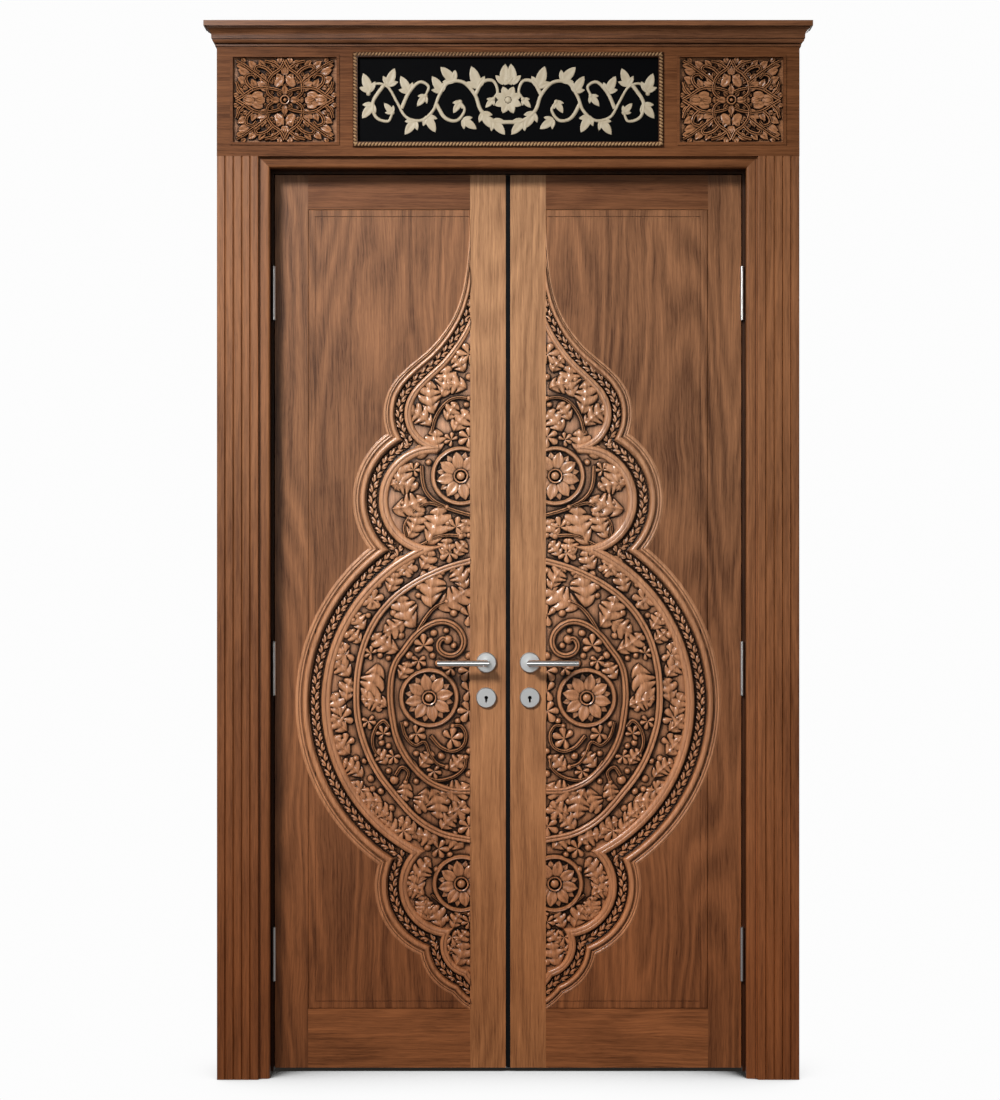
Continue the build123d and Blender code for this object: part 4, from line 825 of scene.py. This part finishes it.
ARCH = (
    (472, 560), (446, 567.5), (421.5, 578.5), (403, 590), (389, 602), (376, 618), (365, 640), (358, 667),
    (356, 694), (358, 720), (366, 748), (378, 772), (394, 793), (411, 812.5), (427, 825), (446, 833.5),
    (472, 838.5),
)
ARCH_PROFILE = (
    (-1, -9.0), (-0.9, 0.6), (-0.7, 2.4), (-0.4, 3.2), (-0.12, 2.2), (0, 1.8), (0.2, 4.0), (0.55, 4.6),
    (0.85, 3.2), (1.0, -9.0),
)
ARCH_HALF = 3.4
line = carve(curve_through(ARCH, 10))
across = sideways(line) * (ARCH_HALF * scale)
rib = [raised(line - across * share, level / 1000) for share, level in ARCH_PROFILE]
foliage.append(grid_faces(np.array(rib)))
STEMS = (
    (3.5, 3.0, (431, 433), (434, 420), (440, 409), (448, 401), (457, 398), (468, 399)),
    (4.0, 3.0, (469, 515), (455, 511), (440, 506), (428, 503), (419, 507), (410, 516), (404, 527),
     (408, 546)),
    (4.0, 3.0, (421, 466), (422, 482), (426, 493), (434, 501), (446, 507)),
    (3.0, 4.0, (412, 549), (424, 543), (436, 537), (448, 535), (460, 536)),
    (7.5, 5.0, (469, 790), (450, 789), (430, 781), (415, 768), (403, 752), (395, 733), (391, 712),
     (389.5, 695), (391, 675), (396, 660), (404, 649), (413, 637), (424, 627), (437, 621.5), (449, 622.5),
     (459, 630), (463, 641), (459, 651), (450, 655), (441, 652), (437.5, 645), (441, 638.5), (447, 639)),
    (4.0, 3.0, (416, 633), (424, 619), (434, 607), (446, 601)),
    (3.5, 3.0, (401, 721), (405, 735), (414, 744), (424, 741), (429, 752), (436, 762), (446, 766)),
    (4.0, 3.0, (430, 735), (440, 746), (452, 750), (462, 745), (465, 734), (460, 725), (452, 725)),
    (3.5, 3.0, (412, 760), (422, 773), (436, 779), (452, 776), (463, 767), (465, 756)),
    (4.0, 3.0, (389, 726), (383, 720), (376, 726), (372, 738), (374, 749), (381, 757)),
    (3.5, 3.0, (395, 774), (401, 766), (408, 771), (405, 781)),
    (3.0, 3.0, (431, 893), (444, 903), (456, 909), (468, 912)),
)
STEM_CREST, STEM_RISE = 0.0012, 0.0004
EYE_SHARE, EYE_HEIGHT = 0.95, 0.0125
eyes = []
for start, end, *route in STEMS:
    crest = STEM_CREST + STEM_RISE * start
    foliage.append(stem_patch(carve(route), start * scale, end * scale, GROUND, crest))
    x, y = carve(route[-1])
    eyes.append((x, y, x + end * EYE_SHARE * scale, y, 1.0, EYE_HEIGHT))
BERRIES = (
    (378, 584, 3.6), (352.5, 619.3, 3.4), (346.6, 634.3, 4), (408.7, 654.6, 4), (379.7, 654.6, 3),
    (418, 586, 3.4), (441.5, 572, 3.2), (393.6, 779, 4.6), (405, 723, 3.2), (341, 684, 3),
    (372, 788, 3.2), (364, 760, 3), (391, 807, 3.4), (427, 846, 3.6), (449, 853, 3.2), (447, 800, 3.4),
    (457, 720, 3.2), (440, 380, 3.2), (456, 424, 3.4), (402, 503, 3), (447, 523, 3.4), (436, 868, 3.2),
    (446, 917, 3.2), (459, 955, 3), (381, 742, 3.2), (432, 655, 3.2),
)
FLOWERS = (
    (405.2, 566.5, 10), (371.6, 599, 10), (344.9, 653, 10.5), (341.4, 717.6, 10.5), (345, 743, 10),
    (360, 788, 9.5), (378.5, 816, 10), (403, 829, 10), (457.4, 809, 10), (373.9, 702.5, 10),
    (449, 553, 9), (437.7, 847, 9), (455, 527, 9), (414, 884, 9), (451, 935, 8),
)
LEAVES = (
    (463, 373, 453, 360), (466, 389, 447, 385), (440, 398, 444, 371), (434, 415, 431, 386),
    (431, 427, 411, 412), (446, 421, 455, 406), (453, 432, 466, 415), (437, 454, 436, 433),
    (394, 491, 399, 462), (389, 485, 413, 488), (391, 509, 420, 499), (426, 545, 436, 511),
    (406, 538, 416, 514), (455, 537, 465, 521), (441, 557, 445, 540), (455, 557, 464, 544),
    (428, 561, 424, 547), (413, 574, 399, 559), (420, 569, 428, 552), (388, 592, 393, 574),
    (379, 608, 366, 593), (365, 629, 356, 614), (363, 641, 351, 631), (346, 661, 339, 643),
    (349, 677, 336, 663), (346, 701, 351, 681), (338, 716, 333, 696), (347, 730, 334, 717),
    (350, 753, 336, 737), (362, 777, 345, 763), (367, 796, 352, 783), (382, 801, 362, 801),
    (391, 821, 372, 806), (398, 837, 382, 820), (418, 839, 400, 822), (438, 841, 418, 834),
    (463, 847, 446, 838), (416, 627, 402, 598), (404, 620, 386, 630), (399, 650, 377, 635),
    (377, 662, 364, 692), (388, 706, 364, 700), (386, 764, 376, 752), (405, 780, 402, 797),
    (426, 786, 416, 807), (430, 786, 436, 813), (445, 813, 461, 803), (440, 829, 453, 816),
    (431, 608, 436, 573), (435, 606, 463, 590), (464, 590, 452, 568), (398, 678, 406, 663),
    (447, 768, 461, 756), (418, 766, 428, 752), (436, 792, 464, 785), (408, 896, 414, 871),
    (416, 884, 428, 862), (424, 894, 409, 889), (426, 896, 420, 913), (431, 919, 424, 897),
    (441, 926, 432, 908), (452, 927, 459, 913), (452, 940, 464, 930), (455, 964, 461, 943),
    (447, 953, 453, 944),
)
chance = np.random.default_rng(7)
LEAF_KINDS = ((4, 0.9), (4, -0.9), (3, 0.5), (3, -0.7))
LARGE_LEAF, LARGE_RATIO, SMALL_RATIO = 22, 0.68, 0.85
TIP_SHARE, LEAF_LOW, LEAF_CHANGE = 0.2, 0.0105, 0.0035
sorted_rows = {kind: [] for kind in LEAF_KINDS}
for x0, y0, x1, y1 in LEAVES:
    foot, tip = carve(((x0, y0), (x1, y1)))
    tip = tip + (tip - foot) * TIP_SHARE
    large = math.hypot(x1 - x0, y1 - y0) > LARGE_LEAF
    kind = LEAF_KINDS[chance.integers(2) if large else 2 + chance.integers(2)]
    high = LEAF_LOW + LEAF_CHANGE * chance.random()
    sorted_rows[kind].append((*foot, *tip, LARGE_RATIO if large else SMALL_RATIO, high))
for (lobes, bend), rows in sorted_rows.items():
    foliage.append(spread(leaf_shape(lobes, bend), rows, GROUND, medallion_wood))

ROSETTES = ((428.5, 697.0, 30.0), (460.0, 476.0, 30.0), (460.5, 882.0, 29.0))
RING_PROFILE = (
    (0, -0.009), (0.1, -0.001), (0.3, 0.0022), (0.5, 0.0012), (0.7, 0.0022), (0.9, -0.001), (1, -0.009),
)
BOSS_PROFILE = ((0, -0.009), (0.15, 0.003), (0.6, 0.0042), (1, -0.009))
RING_WIDTH, PETAL_FOOT, PETAL_SHORT = 5.0, 7.0, 5.4
PETAL_COUNT, PETAL_WIDTHS_HEIGHTS = 16, ((0.8, 0.0078), (1.05, 0.0122))
BOSS_INNER, BOSS_OUTER, BOSS_EYE, BOSS_EYE_HEIGHT = 5.6, 8.0, 5.4, 0.015
petals = []
for x, y, ring in ROSETTES:
    middle = carve((x, y))
    foliage.append(ring_patch(middle, (ring - RING_WIDTH) * scale, ring * scale, RING_PROFILE))
    foliage.append(ring_patch(middle, BOSS_INNER * scale, BOSS_OUTER * scale, BOSS_PROFILE, 32))
    eyes.append((*middle, middle[0] + BOSS_EYE * scale, middle[1], 1.0, BOSS_EYE_HEIGHT))
    tip = (ring - PETAL_SHORT) * scale
    kinds = [(tip, wide, high) for wide, high in PETAL_WIDTHS_HEIGHTS]
    petals += petal_ring(middle, PETAL_COUNT, PETAL_FOOT * scale, kinds, 0.5)
foliage.append(spread(petal_shape(), petals, GROUND, medallion_wood))
BUD = (420.0, 452.0, 7.0)

# The ground left between them is filled with vine leaves and small berries, wherever there is room.
ARCH_CLEAR, EDGE_CLEAR = 3.6, 1.0
taken = [*ROSETTES, *BERRIES, BUD]
taken += [(x, y, ARCH_CLEAR) for x, y in curve_through(ARCH, 4)]
taken += [(x, y, EDGE_CLEAR) for x, y in outline_at(FIELD_INSET)]
taken += [(x, y, start / 2) for start, _, *route in STEMS for x, y in curve_through(route, 3)]
for x0, y0, x1, y1 in LEAVES:
    long = math.hypot(x1 - x0, y1 - y0)
    for share in (0.2, 0.55, 0.95):
        taken.append((x0 + (x1 - x0) * share, y0 + (y1 - y0) * share, long * FROND_CLEAR_SHARE))
VINE_LOW, VINE_CHANGE, VINE_FOOT_SHARE, VINE_TIP_SHARE = 0.0112, 0.0025, 0.8, 1.2
vine_rows = []


def vine_leaf(x, y, radius):
    """A vine leaf in a round space, turned by chance."""
    a = chance.random() * 2 * math.pi
    way = np.array((math.cos(a), math.sin(a))) * radius
    foot, tip = carve(((x, y) - way * VINE_FOOT_SHARE, (x, y) + way * VINE_TIP_SHARE))
    vine_rows.append((*foot, *tip, 1.0, VINE_LOW + VINE_CHANGE * chance.random()))
    taken.append((x, y, radius))


for x, y, radius in FLOWERS:
    vine_leaf(x, y, radius)
FIELD_TOP, FIELD_FOOT = 330, 990
SPOTS_LEFT, SPOTS_TOP, SPOTS_FOOT, SPOT_STEP = 333, 340, 985, 2.5
ROOM_LEAST, ROOM_MOST, LEAF_ROOM = 4.4, 9.5, 5.8
LEAF_SHARE, BERRY_SHARE, BERRY_SWELL, BERRY_HEIGHT = 1.1, 0.66, 1.1, 0.011
field = np.vstack([outline_at(FIELD_INSET), [(STILE_PX, FIELD_FOOT), (STILE_PX, FIELD_TOP)]])
columns = np.arange(SPOTS_LEFT, STILE_PX, SPOT_STEP)
levels = np.arange(SPOTS_TOP, SPOTS_FOOT, SPOT_STEP)
spots = np.array([(x, y) for x in columns for y in levels])
within = np.zeros(len(spots), bool)
for (x0, y0), (x1, y1) in zip(field, np.roll(field, -1, axis=0)):
    if y0 != y1:
        across = x0 + (x1 - x0) * (spots[:, 1] - y0) / (y1 - y0)
        within ^= ((y0 > spots[:, 1]) != (y1 > spots[:, 1])) & (spots[:, 0] < across)
spots = spots[within]
berries = [*BERRIES, BUD]
for x, y, radius in free_places(spots, taken, ROOM_LEAST, ROOM_MOST):
    if radius > LEAF_ROOM:
        vine_leaf(x, y, radius * LEAF_SHARE)
    else:
        berries.append((x, y, radius * BERRY_SHARE))
for x, y, radius in berries:
    middle = carve((x, y))
    eyes.append((*middle, middle[0] + radius * BERRY_SWELL * scale, middle[1], 1.0, BERRY_HEIGHT))
foliage.append(spread(vine_leaf_shape(), vine_rows, GROUND, medallion_wood))
foliage.append(spread(dome_shape(), eyes, GROUND, medallion_wood))

STILE_PLAY = 0.0001
cut = stile_edge + STILE_PLAY
for side, mirror in (("left", True), ("right", False)):
    for name, patches in (("_medallion_mouldings", mouldings), ("_medallion_foliage", foliage)):
        piece = carved_piece(side + name, patches, leaf_face, FLOOR, medallion_wood, mirror, cut)
        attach(piece, side + "_leaf")
        if patches is mouldings:
            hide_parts(side + "_medallion")


# Hinges: lift-off hinges in bright satin steel, their plates let flush into the leaf's and jamb's edges.
# The turned barrels stand in the dark reveal in front of the leaf.
satin_steel = plain_finish("satin steel", (0.68, 0.67, 0.65), 0.22, 0.16, 700.0, 2.0, metallic=1.0)
for side in ("left_", "right_"):
    give(satin_steel, side + "frame_hinge_halves", side + "leaf_hinge_halves", side + "hinge_pins")


# Lock: polished levers on round satin roses; the case and dead bolt are steel, plates and latch blackened.
# Spindles join the two levers of a leaf through the follower in the case.
plated = plain_finish("polished plate", (0.80, 0.79, 0.78), 0.11, 0.06, 30.0, 2.0, metallic=1.0)
satin_plate = plain_finish("satin plate", (0.54, 0.545, 0.54), 0.36, 0.08, 60.0, 2.0, metallic=1.0)
black_steel = plain_finish("blackened steel", (0.012, 0.012, 0.013), 0.38, 0.16, 80.0, 3.0, metallic=1.0)
for side in ("left_", "right_"):
    give(plated, side + "outer_lever", side + "inner_lever")
    give(satin_plate, side + "outer_roses", side + "inner_roses")
    give(satin_steel, side + "spindle", side + "follower")
give(satin_steel, "lock_case", "strike_case", "dead_bolt")
give(black_steel, "lock_faceplate", "strike_plate", "latch_bolt")


# Keyhole shade plugs: a blackened steel plate in each lock case, seen through the keyhole.
# Each fills the keyhole's outline behind the wood: painted shade, a dark sheet in place of the lock's dark
# inside.
def prism(name, outline, front, back, material):
    """A straight piece: its outline as seen from the front, carried from one depth to another."""
    count = len(outline)
    points = [(x, y, z) for y in (front, back) for x, z in outline]
    faces = [tuple(range(count)), tuple(range(2 * count - 1, count - 1, -1))]
    for i in range(count):
        after = (i + 1) % count
        faces.append((i, i + count, after + count, after))
    made = mesh_object(name, points, faces)
    made.data.materials.append(material)
    return made


KEY_EYE, KEY_SLOT, KEY_DROP, KEY_HALF = 0.0049, 0.0024, 0.0119, 0.004
for side in ("left", "right"):
    low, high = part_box(side + "_outer_roses")
    key_x, key_z = (low.x + high.x) / 2, low.z + (high.x - low.x) / 2
    meet = math.asin(KEY_SLOT / KEY_EYE)
    turn = np.linspace(meet - math.pi / 2, 1.5 * math.pi - meet, 17)
    outline = [(key_x + KEY_EYE * math.cos(a), key_z + KEY_EYE * math.sin(a)) for a in turn]
    outline += [(key_x - KEY_SLOT, key_z - KEY_DROP), (key_x + KEY_SLOT, key_z - KEY_DROP)]
    keyhole_shade_plug = prism(side + "_key_levers", outline, -KEY_HALF, KEY_HALF, black_steel)
    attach(keyhole_shade_plug, side + "_leaf")


# Screws: countersunk steel screws that fix the hinge plates and the lock's and strike's plates.
# Each head is turned, with a pressed cross; they sit in the edges, so they show when the leaves are open.
def screw_head_shape(around=32):
    """A countersunk head of unit radius, one unit proud of its plate, with a cross pressed in it."""
    a = np.linspace(0, 2 * np.pi, around, endpoint=False)
    cross = 0.18 + 0.40 * np.abs(np.cos(2 * a)) ** 10
    rim = np.ones(around)
    rows = ((rim * 0.5, -2.0), (rim, 0.0), (rim * 0.9, 1.0), (cross, 1.0), (cross * 0.7, 0.15))
    shape = np.array([np.c_[r * np.cos(a), r * np.sin(a), np.full(around, z)] for r, z in rows])
    points, faces = grid_faces(shape, closed=True)
    points = np.vstack([points, [(0, 0, -2.0), (0, 0, 0.15)]])
    foot, pit = len(points) - 2, len(points) - 1
    inner = around * (len(rows) - 1)
    caps = [((i + 1) % around, i, foot) for i in range(around)]
    caps += [(inner + i, inner + (i + 1) % around, pit) for i in range(around)]
    return points, [*faces, *caps]


HEAD_RADIUS, HEAD_PROUD, SLOT_STEP, SCREW_FROM_END = 0.0036, 0.0005, 0.7, 0.012


def plate_screws(name, plates):
    """Screws in upright plates; each plate has its face's x, the way it faces and its screws' places."""
    sets = []
    for face, way, places in plates:
        rows = []
        for number, (y, z) in enumerate(places):
            rim = (way * y, z) + turned((HEAD_RADIUS, 0), SLOT_STEP * number)
            rows.append((way * y, z, *rim, 1.0, HEAD_PROUD))
        points, faces = spread(screw_head_shape(), rows, 0.0, satin_steel)
        sets.append((np.c_[face + way * points[:, 2], way * points[:, 0], points[:, 1]], faces))
    made = mesh_object(name, *joined(sets))
    made.data.materials.append(satin_steel)
    return made


HINGE_SCREW_SHARES = ((0.36, -0.80), (0.70, -0.36), (0.70, 0.36), (0.36, 0.80))
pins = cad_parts["right_hinge_pins"].data
pin_ends = sorted({round(corner.co.z, 4) for corner in pins.vertices})
pin_low, pin_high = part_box("right_hinge_pins")
hinge_x = (pin_low.x + pin_high.x) / 2
leaf_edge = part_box("right_hinge_stile")[1].x
plate_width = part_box("right_leaf_hinge_halves")[1].y - leaf_face
hinge_places = []
for bottom, top in zip(pin_ends[::2], pin_ends[1::2]):
    for across, up in HINGE_SCREW_SHARES:
        hinge_places.append((leaf_face + plate_width * across, (bottom + top) / 2 + up * (top - bottom) / 2))
low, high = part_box("lock_faceplate")
lock_places = [(0.0, z) for z in (low.z + SCREW_FROM_END, high.z - SCREW_FROM_END)]
jamb_edge = 2 * hinge_x - leaf_edge
frame_screws = plate_screws("frame_screws", ((jamb_edge, -1, hinge_places), (-jamb_edge, 1, hinge_places)))
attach(frame_screws, "frame")
for side, way in (("left", -1), ("right", 1)):
    leaf_plates = ((way * leaf_edge, way, hinge_places), (way * low.x, -way, lock_places))
    leaf_screws = plate_screws(side + "_leaf_screws", leaf_plates)
    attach(leaf_screws, side + "_leaf")


# Seals: black rubber strips on the frame's stop and along the leaves' meeting edges.
# They are extruded and pressed into place; a wiper lip on the right leaf closes the gap between the leaves.
rubber = plain_finish("black rubber", (0.004, 0.004, 0.004), 0.65, 0.2, 90.0, 3.0, sheen=0.1)
give(rubber, "stop_seal", "left_edge_seal", "right_edge_seal")
low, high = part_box("right_edge_seal")
LIP_TIP, LIP_FRONT, LIP_BACK = -0.0045, -0.0205, -0.0190
lip = prism("meeting_lip", [(LIP_TIP, low.z), (high.x, low.z), (high.x, high.z), (LIP_TIP, high.z)],
            LIP_FRONT, LIP_BACK, rubber)
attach(lip, "right_leaf")


# Studio: a plain pale floor and background, with the camera level at the photograph's place.
# A lamp above on the left models the carving, a broad one fills from in front and one lights the back.
PALE, FLOOR_SHADE = (0.98, 0.98, 0.98, 1), (0.02, 0.018, 0.016, 1)
FLOOR_HALF, SHADE_REACH, STUDIO_LIGHT = 40, 0.45, 0.21
floor_paint, shader, value = new_material("pale floor", (0.0, 0.0, 0.0), 0.7)
shader.inputs["Specular IOR Level"].default_value = 0.0
shader.inputs["Emission Strength"].default_value = 1.0
# Painted shadow: the floor's glow is darkened by ambient occlusion near the door and frame, as a contact
# shadow.
clear = value.node("AmbientOcclusion", {"samples": 16}, out="AO", Distance=SHADE_REACH)
shade = (value.sum("POWER", 1.0 - clear, 4.0) * 5.0).clamped()
shade.mix(PALE, FLOOR_SHADE).to(shader.inputs["Emission Color"])
corners = np.array([(-1, -1, 0), (1, -1, 0), (1, 1, 0), (-1, 1, 0)]) * FLOOR_HALF
floor = mesh_object("floor", corners, [(0, 1, 2, 3)])
floor.data.materials.append(floor_paint)
floor.visible_diffuse = False
floor.visible_glossy = False
world = bpy.data.worlds.new("studio")
bpy.context.scene.world = world
world.use_nodes = True
sky = world.node_tree.nodes["Background"]
sky.inputs["Color"].default_value = (1, 1, 1, 1)
value = Value(world.node_tree)
seen = value.node("LightPath", {}, out="Is Camera Ray")
(STUDIO_LIGHT + seen * (PALE[0] - STUDIO_LIGHT)).to(sky.inputs["Strength"])
LAMPS = (
    ("key", (-2.2, -4.0, 4.2), 1.5, 1.0, 50, 27.0),
    ("front", (-0.8, -6.5, 2.2), 1.6, 2.4, 80, 11.0),
    ("back", (2.2, 5.0, 3.4), 1.4, 2.4, 80, 16.0),
)
for name, spot, aim, size, beam, power in LAMPS:
    lamp = bpy.data.lights.new(name, "AREA")
    lamp.size = size
    lamp.energy = power
    lamp.spread = math.radians(beam)
    holder = new_object(name, lamp)
    holder.location = spot
    holder.rotation_euler = (Vector((0, 0, aim)) - Vector(spot)).to_track_quat("-Z", "Y").to_euler()
bpy.context.scene.view_settings.view_transform = "Standard"
camera = bpy.data.cameras.new("camera")
camera.sensor_fit = "VERTICAL"
camera.sensor_height = 36.0
camera.lens = 62.34
camera_stand = new_object("camera", camera)
camera_stand.location = (-0.021, -5.0055, 1.364)
camera_stand.rotation_euler = (math.radians(90), 0, 0)
bpy.context.scene.camera = camera_stand
